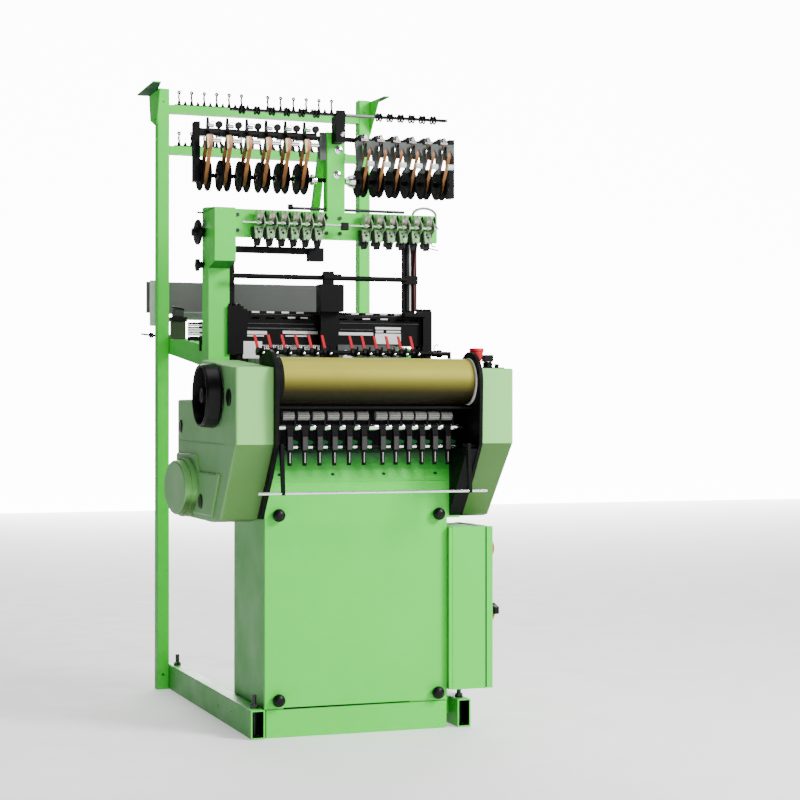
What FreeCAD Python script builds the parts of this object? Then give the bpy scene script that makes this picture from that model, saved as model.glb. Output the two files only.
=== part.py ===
"""Narrow-fabric needle loom: twelve tapes side by side, with heald frames, take-off and yarn feeders.

Built in the loom's own datum (front outer bottom corner of the left base rail; X to the right,
Y to the back, Z up, millimetres) and then shifted so the footprint is centred on X = Y = 0.
"""
import FreeCAD
import Part
import math
import os

V = FreeCAD.Vector

# ---------------------------------------------------------------- driving dimensions
RAIL_W, RAIL_H, RAIL_T = 50.0, 100.0, 5.0        # rectangular tube of the base
RAIL_L = 1300.0
RAIL_R_X = 762.0                                 # inner face of the right rail
POST_Y, POST_W, POST_D, POST_H = 1250.0, 50.0, 50.0, 2437.0
CAB = (50.0, 726.0, 13.0, 414.0, 99.0, 748.0)    # cabinet x0, x1, y0, y1, z0, z1
SHEET = 3.0                                      # sheet-metal thickness
BED_X0, BED_X1, BED_TOP = 50.0, 775.0, 1010.0
COVER_L = (-94.0, 38.0)
COVER_R = (787.0, 917.0)
HEAD_PITCH_A, HEAD_PITCH_B = 53.6, 48.6          # pitch of the left and right bank of six heads
HEADS = ([113.0 + HEAD_PITCH_A * i for i in range(6)]
         + [450.0 + HEAD_PITCH_B * i for i in range(6)])
ROLLER_Y, ROLLER_Z, ROLLER_R = -75.0, 1232.0, 80.0
PRESS_Y, PRESS_Z, PRESS_R = -60.0, 1111.0, 15.0
ARM_SHAFT_Z, ARM_SHAFT_R = 1072.0, 7.5
WHEEL_Y, WHEEL_Z, WHEEL_R = 110.0, 1182.0, 114.0
BOSS_Y, BOSS_Z, BOSS_A, BOSS_B = 525.0, 848.0, 172.0, 100.0   # oval cam-drum housing, half axes
COLUMN = (-66.0, 11.0, 335.0, 430.0)             # left column x0, x1, y0, y1
COLUMN_HEAD_Y, COLUMN_HEAD_Z, COLUMN_TOP = 245.0, 1654.0, 1853.0
HEALD_N, HEALD_Y0, HEALD_PITCH, HEALD_T = 6, 342.0, 24.0, 12.0
HEALD_X0, HEALD_X1, HEALD_Z0, HEALD_Z1 = 62.0, 778.0, 1120.0, 1491.0
BEAM_Y, BEAM_Z0, BEAM_Z1 = 320.0, 1755.0, 1857.0
FEED_Y, FEED_Z, FEED_R = 350.0, 1976.0, 57.0     # common shaft of the upper feeders
IDLER_Y, IDLER_Z, IDLER_R = 275.0, 2084.0, 26.0
BAR_Y, BAR_Z, BAR_R = 345.0, 2129.0, 9.0         # bar that carries the feeder hangers
PULLEY_R, DISC_HALF = 30.0, 3.5                  # belt pulley between the two discs of a pair
# each feeder pair: left disc, distance to the right disc, half width of belt
PAIRS = [(-95.0 + 72.6 * i, 29.0, 7.0) for i in range(6)] + [(504.0 + 62.5 * i, 22.0, 6.0) for i in range(6)]
BELTS = [(x + gap / 2, half) for x, gap, half in PAIRS]
EYELETS = [42.0 + 52.5 * i for i in range(6)] + [417.0 + 55.5 * i for i in range(6)]
CLIPS = [46.0 + 56.0 * i for i in range(6)] + [567.0 + 42.6 * i for i in range(6)]
TENSION = [107.0 + 45.4 * i for i in range(6)] + [515.0 + 48.6 * i for i in range(6)]
LEVERS = [52.0 + 49.3 * i for i in range(6)] + [401.0 + 46.0 * i for i in range(6)]
RUN = 0.05                                       # radial running clearance of a turning shaft


# ---------------------------------------------------------------- small helpers
def box(x0, x1, y0, y1, z0, z1):
    return Part.makeBox(x1 - x0, y1 - y0, z1 - z0, V(x0, y0, z0))


def cyl_x(x0, x1, y, z, r):
    return Part.makeCylinder(r, x1 - x0, V(x0, y, z), V(1, 0, 0))


def cyl_y(y0, y1, x, z, r):
    return Part.makeCylinder(r, y1 - y0, V(x, y0, z), V(0, 1, 0))


def cyl_z(z0, z1, x, y, r):
    return Part.makeCylinder(r, z1 - z0, V(x, y, z0), V(0, 0, 1))


def tube_x(x0, x1, y, z, r, bore):
    return cyl_x(x0, x1, y, z, r).cut(cyl_x(x0 - 1, x1 + 1, y, z, bore))


def prism_x(points, x0, x1):
    """Outline in (y, z), run along X."""
    ring = [V(x0, y, z) for y, z in points]
    return Part.Face(Part.makePolygon(ring + ring[:1])).extrude(V(x1 - x0, 0, 0))


def prism_y(points, y0, y1):
    """Outline in (x, z), run along Y."""
    ring = [V(x, y0, z) for x, z in points]
    return Part.Face(Part.makePolygon(ring + ring[:1])).extrude(V(0, y1 - y0, 0))


def turned_x(profile, y, z):
    """Profile in (x, r) turned about the X direction through (y, z)."""
    ring = [V(x, y, z + r) for x, r in profile]
    face = Part.Face(Part.makePolygon(ring + ring[:1]))
    return face.revolve(V(0, y, z), V(1, 0, 0), 360)


def fuse(*shapes):
    first, rest = shapes[0], list(shapes[1:])
    return (first.fuse(rest) if rest else first).removeSplitter()


def group(shapes):
    solids = [solid for shape in shapes for solid in shape.Solids]
    return solids[0] if len(solids) == 1 else Part.makeCompound(solids)


def soften(shape, radius, test):
    """Round the edges whose middle passes the test."""
    edges = [e for e in shape.Edges if test(e.CenterOfMass)]
    return shape.makeFillet(radius, edges) if edges else shape


def arc(cy, cz, r, a0, a1, n):
    """Points of an arc, angles in degrees from +Y towards +Z."""
    step = (a1 - a0) / n
    return [(cy + r * math.cos(math.radians(a0 + step * i)), cz + r * math.sin(math.radians(a0 + step * i)))
            for i in range(n + 1)]


def oval_x(x0, x1, y, z, a, b):
    """Elliptic cylinder along X with half axes a (along Y) and b (along Z)."""
    edge = Part.Ellipse(V(x0, y + a, z), V(x0, y, z + b), V(x0, y, z)).toShape()
    return Part.Face(Part.Wire(edge)).extrude(V(x1 - x0, 0, 0))


def hex_z(x, y, z0, z1, across):
    r = across / math.sqrt(3)
    ring = [V(x + r * math.cos(math.radians(60 * i)), y + r * math.sin(math.radians(60 * i)), z0)
            for i in range(6)]
    return Part.Face(Part.makePolygon(ring + ring[:1])).extrude(V(0, 0, z1 - z0))


def star_knob_y(x, z, y_face, stud_to):
    """Lobed hand knob lying on a panel that faces -Y, with its stud reaching back to stud_to."""
    body = cyl_y(y_face - 20, y_face - 6, x, z, 18)
    notches = [cyl_y(y_face - 21, y_face - 5, x + 21 * math.cos(math.radians(a)),
                     z + 21 * math.sin(math.radians(a)), 5.5) for a in range(0, 360, 60)]
    return fuse(body.cut(notches), cyl_y(y_face - 6, y_face, x, z, 9), cyl_y(y_face, stud_to, x, z, 5))


PARTS = {}

# ---------------------------------------------------------------- base
LEVEL_AT = [(25.0, 51.0, 146.0), (25.0, 1212.0, 146.0), (787.0, 51.0, 135.0), (787.0, 1212.0, 146.0)]


def rail(x0):
    outer = box(x0, x0 + RAIL_W, 0, RAIL_L, 0, RAIL_H)
    outer = soften(outer, 4, lambda c: abs(c.y - RAIL_L / 2) < 1)
    inner = box(x0 + RAIL_T, x0 + RAIL_W - RAIL_T, -1, RAIL_L + 1, RAIL_T, RAIL_H - RAIL_T)
    drilled = [cyl_z(-1, RAIL_H + 1, x, y, 8.3) for x, y, top in LEVEL_AT if x0 < x < x0 + RAIL_W]
    side_x = x0 - 1 if x0 == 0 else x0 + RAIL_W - RAIL_T - 1
    side = [cyl_x(side_x, side_x + RAIL_T + 2, y, z, 5) for y, z in ((266, 56), (452, 50), (1170, 78))]
    return outer.cut([inner] + drilled + side)


PARTS["base_rail_left"] = rail(0.0)
PARTS["base_rail_right"] = rail(RAIL_R_X)
PARTS["levelling_bolts"] = group([
    fuse(cyl_z(0, top, x, y, 8), hex_z(x, y, RAIL_H, RAIL_H + 14, 26)) for x, y, top in LEVEL_AT])

# skirt under the cabinet (front and two short sides) welded to the two tubes that tie the rails
skirt = box(56, 726, 13, 90, 0, 96).cut(box(56 + SHEET, 726 - SHEET, 13 + SHEET, 91, -1, 97))
cross_tubes = [box(50, RAIL_R_X, y, y + 50, 39, 99).cut(box(49, RAIL_R_X + 1, y + 3, y + 47, 42, 96))
               for y in (90.0, 350.0)]
PARTS["cabinet_plinth"] = group([soften(skirt, 6, lambda c: abs(c.z - 48) < 1 and c.y < 14)] + cross_tubes)

# ---------------------------------------------------------------- cabinet and control box
x0, x1, y0, y1, z0, z1 = CAB
KNOBS = [(98.0, 130.0), (686.0, 128.0), (98.0, 768.0), (689.0, 763.0)]
shell = box(x0, x1, y0, y1, z0, z1)
shell = shell.cut(box(x0 + SHEET, x1 - SHEET, y0 + SHEET, y1 - SHEET, z0 + SHEET, z1 - SHEET))
opening = box(x0 + 60, x1 - 60, y0 - 1, y0 + SHEET + 1, z0 + 60, z1 - 40)
PARTS["cabinet_body"] = shell.cut([opening] + [cyl_y(y0 - 1, y0 + 9, x, z, 5.3) for x, z in KNOBS[:2]])

PANEL_Y = 10.0
panel = box(x0 + 2, x1 - 2, PANEL_Y, PANEL_Y + SHEET, 103, 880)
PARTS["front_panel"] = panel.cut([cyl_y(5, 20, x, z, 5.3) for x, z in KNOBS])
PARTS["panel_knobs"] = group([star_knob_y(x, z, PANEL_Y, 22) for x, z in KNOBS])

BOX_X0, BOX_X1, BOX_Y0, BOX_Y1, BOX_Z0, BOX_Z1 = 736.0, 866.0, -13.0, 235.0, 137.0, 715.0
body = box(BOX_X0, BOX_X1, BOX_Y0, BOX_Y1, BOX_Z0, BOX_Z1)
body = soften(body, 4, lambda c: abs(c.z - (BOX_Z0 + BOX_Z1) / 2) < 1 and c.x < 740)
body = body.cut(box(BOX_X0 + SHEET, BOX_X1 - SHEET, BOX_Y0 + SHEET, BOX_Y1 - SHEET,
                    BOX_Z0 + SHEET, BOX_Z1 - SHEET))
body = body.cut(box(BOX_X1 - 5, BOX_X1 + 1, BOX_Y0 + 18, BOX_Y1 - 18, BOX_Z0 + 18, BOX_Z1 - 18))
arm = box(726, BOX_X0, 40, 200, 300, 640)        # welded bracket plate onto the cabinet's side
DOOR_HINGE_X, DOOR_HINGE_Y, HINGE_PIN = 881.0, 243.0, 4.0
HINGE_Z = (230.0, 620.0)
leaves = [fuse(box(838, DOOR_HINGE_X, BOX_Y1, BOX_Y1 + 3, z - 30, z - 10),
               cyl_z(z - 30, z - 10, DOOR_HINGE_X, DOOR_HINGE_Y, 6.5),
               cyl_z(z - 30, z + 14, DOOR_HINGE_X, DOOR_HINGE_Y, HINGE_PIN)) for z in HINGE_Z]
PARTS["control_box"] = fuse(body, arm, *leaves)

DOOR_X0, DOOR_X1 = 869.0, 893.0
DOOR_Y1 = BOX_Y1 - 3
door = box(DOOR_X0, DOOR_X1, BOX_Y0, DOOR_Y1, BOX_Z0, BOX_Z1)
door = soften(door, 3, lambda c: c.x > DOOR_X1 - 1)
door = door.cut(box(DOOR_X0 - 1, DOOR_X1 - SHEET, BOX_Y0 + SHEET, DOOR_Y1 - SHEET,
                    BOX_Z0 + SHEET, BOX_Z1 - SHEET))
door = fuse(door, *[fuse(box(876, 886, DOOR_Y1 - 1, DOOR_HINGE_Y, z - 9.6, z + 14),
                         cyl_z(z - 9.6, z + 14, DOOR_HINGE_X, DOOR_HINGE_Y, 6.5)) for z in HINGE_Z])
LOCK_Y, LOCK_Z, LAMP_Y, LAMP_Z = 30.0, 405.0, 60.0, 632.0
PARTS["control_box_door"] = door.cut([cyl_z(z - 12, z + 20, DOOR_HINGE_X, DOOR_HINGE_Y, HINGE_PIN + RUN)
                                      for z in HINGE_Z] + [cyl_x(880, 900, LOCK_Y, LOCK_Z, 8 + RUN),
                                      cyl_x(880, 900, LAMP_Y, LAMP_Z, 8.5)])
PARTS["door_lock"] = fuse(
    cyl_x(884, 901, LOCK_Y, LOCK_Z, 8), cyl_x(893.4, 901, LOCK_Y, LOCK_Z, 15),
    box(901, 909, LOCK_Y - 9, LOCK_Y + 9, LOCK_Z - 20, LOCK_Z + 26),
    box(901, 917, LOCK_Y - 3, LOCK_Y + 3, LOCK_Z + 26, LOCK_Z + 31),
    box(884, 887, LOCK_Y - 9, LOCK_Y + 9, LOCK_Z - 34, LOCK_Z + 8))
PARTS["door_stop_button"] = fuse(
    cyl_x(886, 899, LAMP_Y, LAMP_Z, 8),
    soften(cyl_x(898, 909, LAMP_Y, LAMP_Z, 22), 6, lambda c: c.x > 908))

# ---------------------------------------------------------------- loom bed and head sides
apron = [(13, 748), (13, 880)] + arc(133, 880, 120, 172, 100, 6) + [(160, BED_TOP), (600, BED_TOP), (600, 748)]
hollow = [(25, 740), (25, 880)] + arc(133, 880, 108, 172, 100, 6) + [(160, 998), (588, 998), (588, 740)]
bed = prism_x(apron, BED_X0, BED_X1).cut(prism_x(hollow, BED_X0 + 12, BED_X1 - 12))
ROCK_Y, ROCK_Z = 200.0, 960.0                    # sley rocking shaft lies in the bed
PARTS["loom_bed"] = bed.cut([cyl_y(0, 30, x, z, 5.3) for x, z in KNOBS[2:]])

plate_outline = ([(98, 751), (19, 755), (-97, 898), (-174, 1015)] + arc(ROLLER_Y, ROLLER_Z, 105, 180, 0, 16)
                 + [(160, 1232), (160, 1011), (98, 1011)])
ROLLER_JOURNAL, SHAFT_R = 12.0, 12.0
THIN_ROD_Z, THIN_ROD_R, GUIDE_BAR_Z = 1005.0, 5.0, 1140.0


def side_plate(a, b):
    bores = [(ROLLER_Y, ROLLER_Z, ROLLER_JOURNAL), (PRESS_Y, THIN_ROD_Z, THIN_ROD_R), (WHEEL_Y, WHEEL_Z, SHAFT_R)]
    return prism_x(plate_outline, a, b).cut([cyl_x(a - 1, b + 1, y, z, r + RUN) for y, z, r in bores])


PARTS["side_plate_left"] = side_plate(38.0, BED_X0)
PARTS["side_plate_right"] = side_plate(BED_X1, 787.0)

PARTS["breast_plate"] = box(BED_X0, BED_X1, 88, 92, 993, 1200)

SIDE_L = [(-145, 1275), (-145, 1015), (61, 753), (142, 740), (703, 740), (703, 1171), (324, 1171), (324, 1311)]


def moulded_cover(outline, a, b, open_right, wall=4.0):
    """Moulded cover: outline in (y, z) with one open flat side."""
    outer = prism_x(outline, a, b)
    outer = soften(outer, 10, lambda c: (abs(c.x - (a if open_right else b)) < 1) and c.z > 760)
    grown = Part.makePolygon([V(a, y, z) for y, z in outline + outline[:1]]).makeOffset2D(-wall)
    inner = Part.Face(grown).extrude(V(b - a - wall + 1, 0, 0))
    inner.translate(V(wall if open_right else -1, 0, 0))
    return outer.cut(inner)


cover = moulded_cover(SIDE_L, COVER_L[0], COVER_L[1], True)
# raised lower panel with a stepped top edge, a pressed groove above it, and the oval cam-drum housing
raised = prism_x([(47, 910), (350, 911), (398, 971), (686, 971), (686, 757), (150, 757)], COVER_L[0] - 9, COVER_L[0])
raised = soften(raised, 6, lambda c: c.x < COVER_L[0] - 8.9)
HOUSING_X = -148.0
housing = soften(oval_x(HOUSING_X, COVER_L[0], BOSS_Y, BOSS_Z, BOSS_A, BOSS_B), 9, lambda c: c.x < HOUSING_X + 1)
collar = oval_x(-122, COVER_L[0], BOSS_Y, BOSS_Z, BOSS_A + 7, BOSS_B + 7)
cavity = oval_x(HOUSING_X + 5, -80, BOSS_Y, BOSS_Z, BOSS_A - 6, BOSS_B - 6)
groove = box(COVER_L[0] - 1, COVER_L[0] + 2, -7, 690, 1012, 1018)
groove.rotate(V(COVER_L[0], -7, 1015), V(1, 0, 0), 0.5)
cover = fuse(cover.cut(groove), raised, collar, housing).cut(cavity)
PLUGS = [(-60.0, 1174.0, 30.0), (645.0, 1071.0, 25.0), (300.0, 806.0, 27.0)]
cuts = [box(COLUMN[0] - 1, 30, COLUMN[2] - 1, COLUMN[3] + 1, 1150, 1180),
        box(COLUMN[0] - 1, COLUMN[1] + 1, COLUMN[2] - 1, COLUMN[3] + 1, 730, 760),
        cyl_x(-100, -80, WHEEL_Y, WHEEL_Z, SHAFT_R + 3)]
cuts += [cyl_x(-110, -80, y, z, 9.3) for y, z, r in PLUGS]
PARTS["head_cover_left"] = cover.cut(cuts)
cover_plugs = []
for y, z, r in PLUGS:
    seat = COVER_L[0] - (9 if z < 900 else 0)
    disc = turned_x([(seat - 5, 0), (seat - 5, r - 5), (seat - 3, r), (seat, r), (seat, 0)], y, z)
    cover_plugs.append(fuse(disc, cyl_x(seat - 0.2, -82, y, z, 9)))

SIDE_R = [(-145, 1278), (-145, 1015), (85, 755), (142, 745), (500, 745), (500, 1289), (120, 1285), (20, 1278)]
cover = moulded_cover(SIDE_R, COVER_R[0], COVER_R[1], False)
STOP_X, STOP_Y, DIAL_X, DIAL_Y = 814.0, -50.0, 857.0, -50.0
PARTS["head_cover_right"] = cover.cut(cyl_z(1260, 1300, STOP_X, STOP_Y, 8.4))
PARTS["cover_stop_button"] = fuse(
    cyl_z(1266, 1300, STOP_X, STOP_Y, 8),
    Part.makeCone(15, 24, 32, V(STOP_X, STOP_Y, 1300)), cyl_z(1332, 1340, STOP_X, STOP_Y, 24))
PARTS["cover_switches"] = group([
    soften(box(792, 902, -100, -4, 1278, 1283), 4, lambda c: abs(c.z - 1280.5) < 1).cut(
        cyl_z(1270, 1290, STOP_X, STOP_Y, 10)),
    fuse(cyl_z(1283, 1304, DIAL_X, DIAL_Y, 11), box(DIAL_X - 16, DIAL_X + 16, DIAL_Y - 16, DIAL_Y + 16, 1304, 1328)),
    cyl_z(1283, 1295, DIAL_X + 24, DIAL_Y - 26, 8)])

# ---------------------------------------------------------------- take-off, press units, front rod
PARTS["take_off_roller"] = turned_x(
    [(BED_X0 - 12, 0), (BED_X0 - 12, ROLLER_JOURNAL), (56, ROLLER_JOURNAL), (56, ROLLER_R - 6), (60, ROLLER_R),
     (764, ROLLER_R), (768, ROLLER_R - 6), (768, ROLLER_JOURNAL), (787, ROLLER_JOURNAL), (787, 0)],
    ROLLER_Y, ROLLER_Z).cut(tube_x(66, 758, ROLLER_Y, ROLLER_Z, ROLLER_R - 6, ROLLER_JOURNAL + 4))
guide_bar = cyl_x(BED_X0, BED_X1, -110, GUIDE_BAR_Z, 5)


def press_arm(x):
    """One arm with its hubs, clamped on both shafts; the cheek beside the roller carries its stub."""
    web = prism_x([(-71, 992), (-52, 992), (-52, ARM_SHAFT_Z), (-68, ARM_SHAFT_Z), (-71, 1048)], x - 4, x + 16)
    tail = prism_x([(-66, 940), (-56, 940), (-54, 992), (-66, 992)], x, x + 12)
    strip = box(x + 4, x + 8, -68, -65, 944, 988)
    cheek = prism_x(arc(PRESS_Y, ARM_SHAFT_Z, 10, 180, 360, 8) + arc(PRESS_Y, PRESS_Z, 9, 0, 180, 8), x + 21, x + 27)
    hubs = [cyl_x(x - 9, x + 27, PRESS_Y, ARM_SHAFT_Z, 10.5), cyl_x(x - 6, x + 18, PRESS_Y, THIN_ROD_Z, 9)]
    return fuse(web, tail, strip, cheek, *hubs).cut([
        cyl_x(x - 40, x + 40, PRESS_Y, THIN_ROD_Z, THIN_ROD_R), cyl_x(x - 40, x + 40, PRESS_Y, ARM_SHAFT_Z, ARM_SHAFT_R),
        cyl_x(x, x + 40, PRESS_Y, PRESS_Z, 4 + RUN)])


def press_roller(x):
    """Ribbed press roller with a stub on its right for the cheek bore."""
    profile = [(x - 19.5, 0), (x - 19.5, PRESS_R)]
    for i in range(7):
        a = x - 17 + 5.2 * i
        profile += [(a, PRESS_R), (a, PRESS_R - 2), (a + 2, PRESS_R - 2), (a + 2, PRESS_R)]
    return turned_x(profile + [(x + 20, PRESS_R), (x + 20, 4), (x + 27, 4), (x + 27, 0)], PRESS_Y, PRESS_Z)


PARTS["press_arms"] = group([cyl_x(BED_X0 - 12, 787, PRESS_Y, THIN_ROD_Z, THIN_ROD_R),
                             cyl_x(76, 756, PRESS_Y, ARM_SHAFT_Z, ARM_SHAFT_R)] + [press_arm(x) for x in HEADS])
PARTS["press_rollers"] = group([press_roller(x) for x in HEADS])

hanger = [(-186, 845), (-174, 845), (-150, 1000), (-120, 1000), (-120, 1016), (-170, 1016)]
left_arm = prism_x(hanger, 56, 68)
right_arm = prism_x(hanger, 732, 744)
feet = [cyl_x(50, 56, -140, 1006, 8), cyl_x(744, 775, -140, 1006, 8)]
PARTS["rod_arms_and_guide_bar"] = group([fuse(left_arm, feet[0]).cut(cyl_x(40, 80, -180, 851, 5)),
                                         fuse(right_arm, feet[1]).cut(cyl_x(720, 800, -180, 851, 5)), guide_bar])
front_rod = cyl_x(-25, 800, -180, 851, 5)

# ---------------------------------------------------------------- handwheel
wheel = turned_x([(-148, SHAFT_R), (-148, 26), (-124, 30), (-120, 94), (-152, 99), (-156, 102), (-156, 106),
                  (-148, 109), (-109, WHEEL_R), (-102, WHEEL_R - 2), (-100, WHEEL_R - 6), (-103, 98), (-108, 28),
                  (-106, 24), (-106, SHAFT_R)], WHEEL_Y, WHEEL_Z)
PARTS["handwheel"] = fuse(wheel, cyl_x(-150, 50, WHEEL_Y, WHEEL_Z, SHAFT_R))

# ---------------------------------------------------------------- left column and upper beam
cx0, cx1, cy0, cy1 = COLUMN
side = [(cy0, 770), (cy1, 770), (cy1, COLUMN_TOP), (COLUMN_HEAD_Y, COLUMN_TOP), (COLUMN_HEAD_Y, COLUMN_HEAD_Z + 8),
        (cy0, COLUMN_HEAD_Z - 12)]
column = soften(prism_x(side, cx0, cx1), 6, lambda c: abs(c.y - cy0) < 45 and c.z > 1300 and c.x in (cx0, cx1))
inside = fuse(box(cx0 + 6, cx1 - 6, cy0 + 6, cy1 - 6, 776, COLUMN_TOP - 6),
              box(cx0 + 6, cx1 - 6, COLUMN_HEAD_Y + 6, cy1 - 6, COLUMN_HEAD_Z + 14, COLUMN_TOP - 6))
column = column.cut(inside.cut(cyl_x(cx0, -38, 400, 1775, 16)))
foot = prism_y([(cx0, 770), (cx0, 742), (cx0 + 14, 729), (cx1 - 14, 729), (cx1, 742), (cx1, 770)], cy0, cy1)
PARTS["column_left"] = fuse(column, foot, box(cx1, BED_X0, cy0, cy1, 790, 950))
PARTS["upper_arm"] = fuse(box(cx1, 20, cy0, cy0 + 16, 1504, 1752), box(cx1, 350, cy0, cy0 + 24, 1701, 1725),
                          box(308, 364, cy0 - 12, cy0 + 24, 1676, 1725))
PARTS["column_wheel"] = turned_x([(-112, 0), (-112, 14), (-98, 18), (-98, 40), (-94, 46), (-86, 46), (-82, 40),
                                  (-82, 16), (-66.4, 16), (-66.4, 8), (-40, 8), (-40, 0)], 400, 1775)
PARTS["column_left"] = PARTS["column_left"].cut(cyl_x(-70, -38, 400, 1775, 8 + RUN))
column_knob = turned_x([(-96, 0), (-96, 19), (-84, 19), (-84, 9), (-66, 9), (-66, 0)], 405, 1660)
PARTS["hand_knobs"] = group(cover_plugs + [column_knob])

beam = box(cx1, 806, BEAM_Y, BEAM_Y + 12, BEAM_Z0, BEAM_Z1)
bolt_x = [36.0, 372.0, 424.0]
beam_bolts = [cyl_y(BEAM_Y - 5, BEAM_Y, x, z, 7) for x in bolt_x for z in (BEAM_Z0 + 24, BEAM_Z1 - 22)]
PARTS["feeder_beam"] = beam
POST_X0, POST_X1 = 377.0, 449.0
post = soften(box(POST_X0, POST_X1, 332, 376, 1765, 2152), 5, lambda c: abs(c.z - 1958) < 2)
post = post.cut([box(POST_X0 + 5, POST_X1 - 5, 337, 371, 1760, 2160), cyl_x(370, 460, BAR_Y, BAR_Z, BAR_R),
                 cyl_x(370, 460, FEED_Y, FEED_Z, 8 + RUN)])
PARTS["beam_bolts"] = group(beam_bolts)
brace = prism_x([(370, 2140), (370, 2076), (470, 1826), (370, 1826), (370, 1790), (520, 1790)], 361, 388)
PARTS["feeder_post"] = fuse(post, brace)

bracket = fuse(box(396, 431, 276, 283, 2109, 2225), box(396, 431, 276, 332, 2109, 2206))
END_L, END_R = (-120.0, -100.0), (858.0, 878.0)
end_plates = [box(a, b, FEED_Y - 26, FEED_Y + 18, z0, z1).cut(cyl_x(a - 1, b + 1, FEED_Y, FEED_Z, 8 + RUN))
              for a, b, z0, z1 in ((*END_L, 1950, 2165), (*END_R, 1926, 2146))]
PARTS["feeder_frame"] = group([fuse(*end_plates, cyl_x(END_L[0], END_R[1], BAR_Y, BAR_Z, BAR_R)), bracket])


def hanger_plate(x, half, rise):
    """Plate that hangs from the bar beside one idler, with its clamp round the bar."""
    y, z = IDLER_Y, IDLER_Z
    a = x + half + 2.5
    plate = prism_x([(y - 14, z - 18), (y + 14, z - 18), (BAR_Y + 12, BAR_Z - 14), (BAR_Y + 12, BAR_Z + rise / 2),
                     (BAR_Y + 6, BAR_Z + rise), (BAR_Y - 2, BAR_Z + rise), (BAR_Y - 12, BAR_Z + 12), (y - 14, z + 14)],
                    a, a + 8)
    clamp = box(x - 18, a, BAR_Y - 14, BAR_Y + 14, BAR_Z - 14, BAR_Z + 14)
    return fuse(plate, clamp).cut([cyl_x(x - 30, x + 40, BAR_Y, BAR_Z, BAR_R), cyl_x(x, x + 40, y, z, 4 + RUN)])


def feeder_pair(x, gap):
    """Two discs with the belt pulley between them, clamped on the shaft."""
    profile = []
    for disc in (x, x + gap):
        profile += [(disc - DISC_HALF, PULLEY_R if disc > x else 8), (disc - DISC_HALF, FEED_R - 2),
                    (disc - DISC_HALF + 2, FEED_R), (disc + DISC_HALF - 2, FEED_R), (disc + DISC_HALF, FEED_R - 2),
                    (disc + DISC_HALF, PULLEY_R if disc == x else 8)]
    return turned_x(profile, FEED_Y, FEED_Z)


def idler(x, half):
    return turned_x([(x - half, 0), (x - half, IDLER_R), (x + half, IDLER_R), (x + half, 4), (x + half + 8.5, 4),
                     (x + half + 8.5, 0)], IDLER_Y, IDLER_Z)


def belt(x, half):
    """Endless belt: outer minus inner racetrack round the pulley and the idler."""
    dy, dz = IDLER_Y - FEED_Y, IDLER_Z - FEED_Z
    span, lean = math.hypot(dy, dz), math.degrees(math.atan2(dz, dy))

    def racetrack(r_big, r_small):
        open_angle = math.degrees(math.acos((r_big - r_small) / span))
        ring = arc(FEED_Y, FEED_Z, r_big, lean + open_angle, lean + 360 - open_angle, 40)
        return ring + arc(IDLER_Y, IDLER_Z, r_small, lean - open_angle, lean + open_angle, 16)
    r0, r1 = PULLEY_R + 0.5, IDLER_R + 0.5
    a, b = x - half, x + half
    return prism_x(racetrack(r0 + 3, r1 + 3), a, b).cut(prism_x(racetrack(r0, r1), a - 1, b + 1))


PARTS["feeder_hangers"] = group([hanger_plate(*b, rise) for b, rise in zip(BELTS, [56.0] * 6 + [24.0] * 6)])
PARTS["feeder_discs"] = group([cyl_x(END_L[0], END_R[1], FEED_Y, FEED_Z, 8)] + [feeder_pair(x, g) for x, g, h in PAIRS])
PARTS["feeder_idlers"] = group([idler(*b) for b in BELTS])
PARTS["feeder_belts"] = group([belt(*b) for b in BELTS])
PARTS["thread_guide_bar"] = group([box(4, 834, 284, 304, 2206, 2215)] + [fuse(
    box(x - 8, x + 8, 286, 302, 2215, 2222),
    *[Part.makeTorus(13.4, 2.0, V(x + step, 294, 2210), V(1, 0, 0)) for step in (-5, 5)]) for x in CLIPS])

# ---------------------------------------------------------------- tension units on the beam
TEN_Y, TEN_Z = 264.0, 1804.0                     # common rod
DISC_Y, DISC_Z, DISC_R = 294.0, 1829.0, 24.0     # tension discs on their own studs


def tension_unit(x):
    """Tapered block bolted to the beam, with a cheek that carries the disc stud and clamps the rod."""
    block = prism_y([(x - 17, 1794), (x + 17, 1794), (x + 12, 1749), (x - 12, 1749)], 284, BEAM_Y)
    cheek = prism_x([(256, 1794), (BEAM_Y, 1764), (BEAM_Y, 1846), (286, 1846), (254, 1814)], x + 13, x + 16)
    stud = cyl_x(x - 11, x + 14, DISC_Y, DISC_Z, 4)
    return fuse(block, cheek, stud).cut([cyl_y(280, 312, x, 1772, 5), box(x - 9, x - 3, 280, 300, 1778, 1786),
                                         cyl_x(x - 30, x + 30, TEN_Y, TEN_Z, 4)])


PARTS["tension_units"] = group([tension_unit(x) for x in TENSION])
PARTS["bright_rods"] = group([front_rod, cyl_x(40, 790, TEN_Y, TEN_Z, 4)])
PARTS["tension_discs"] = group([turned_x(
    [(x - 10, 4 + RUN), (x - 10, DISC_R - 2), (x - 8, DISC_R), (x - 3, 10), (x + 3, 10), (x + 8, DISC_R),
     (x + 10, DISC_R - 2), (x + 10, 4 + RUN)], DISC_Y, DISC_Z) for x in TENSION])

# ---------------------------------------------------------------- harness
GUIDE_Y1 = HEALD_Y0 + (HEALD_N - 1) * HEALD_PITCH + 24
heald_slots = [HEALD_Y0 + HEALD_PITCH * i for i in range(HEALD_N)]
SLEY_Y, SLEY_Z = 262.0, 1045.0


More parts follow.
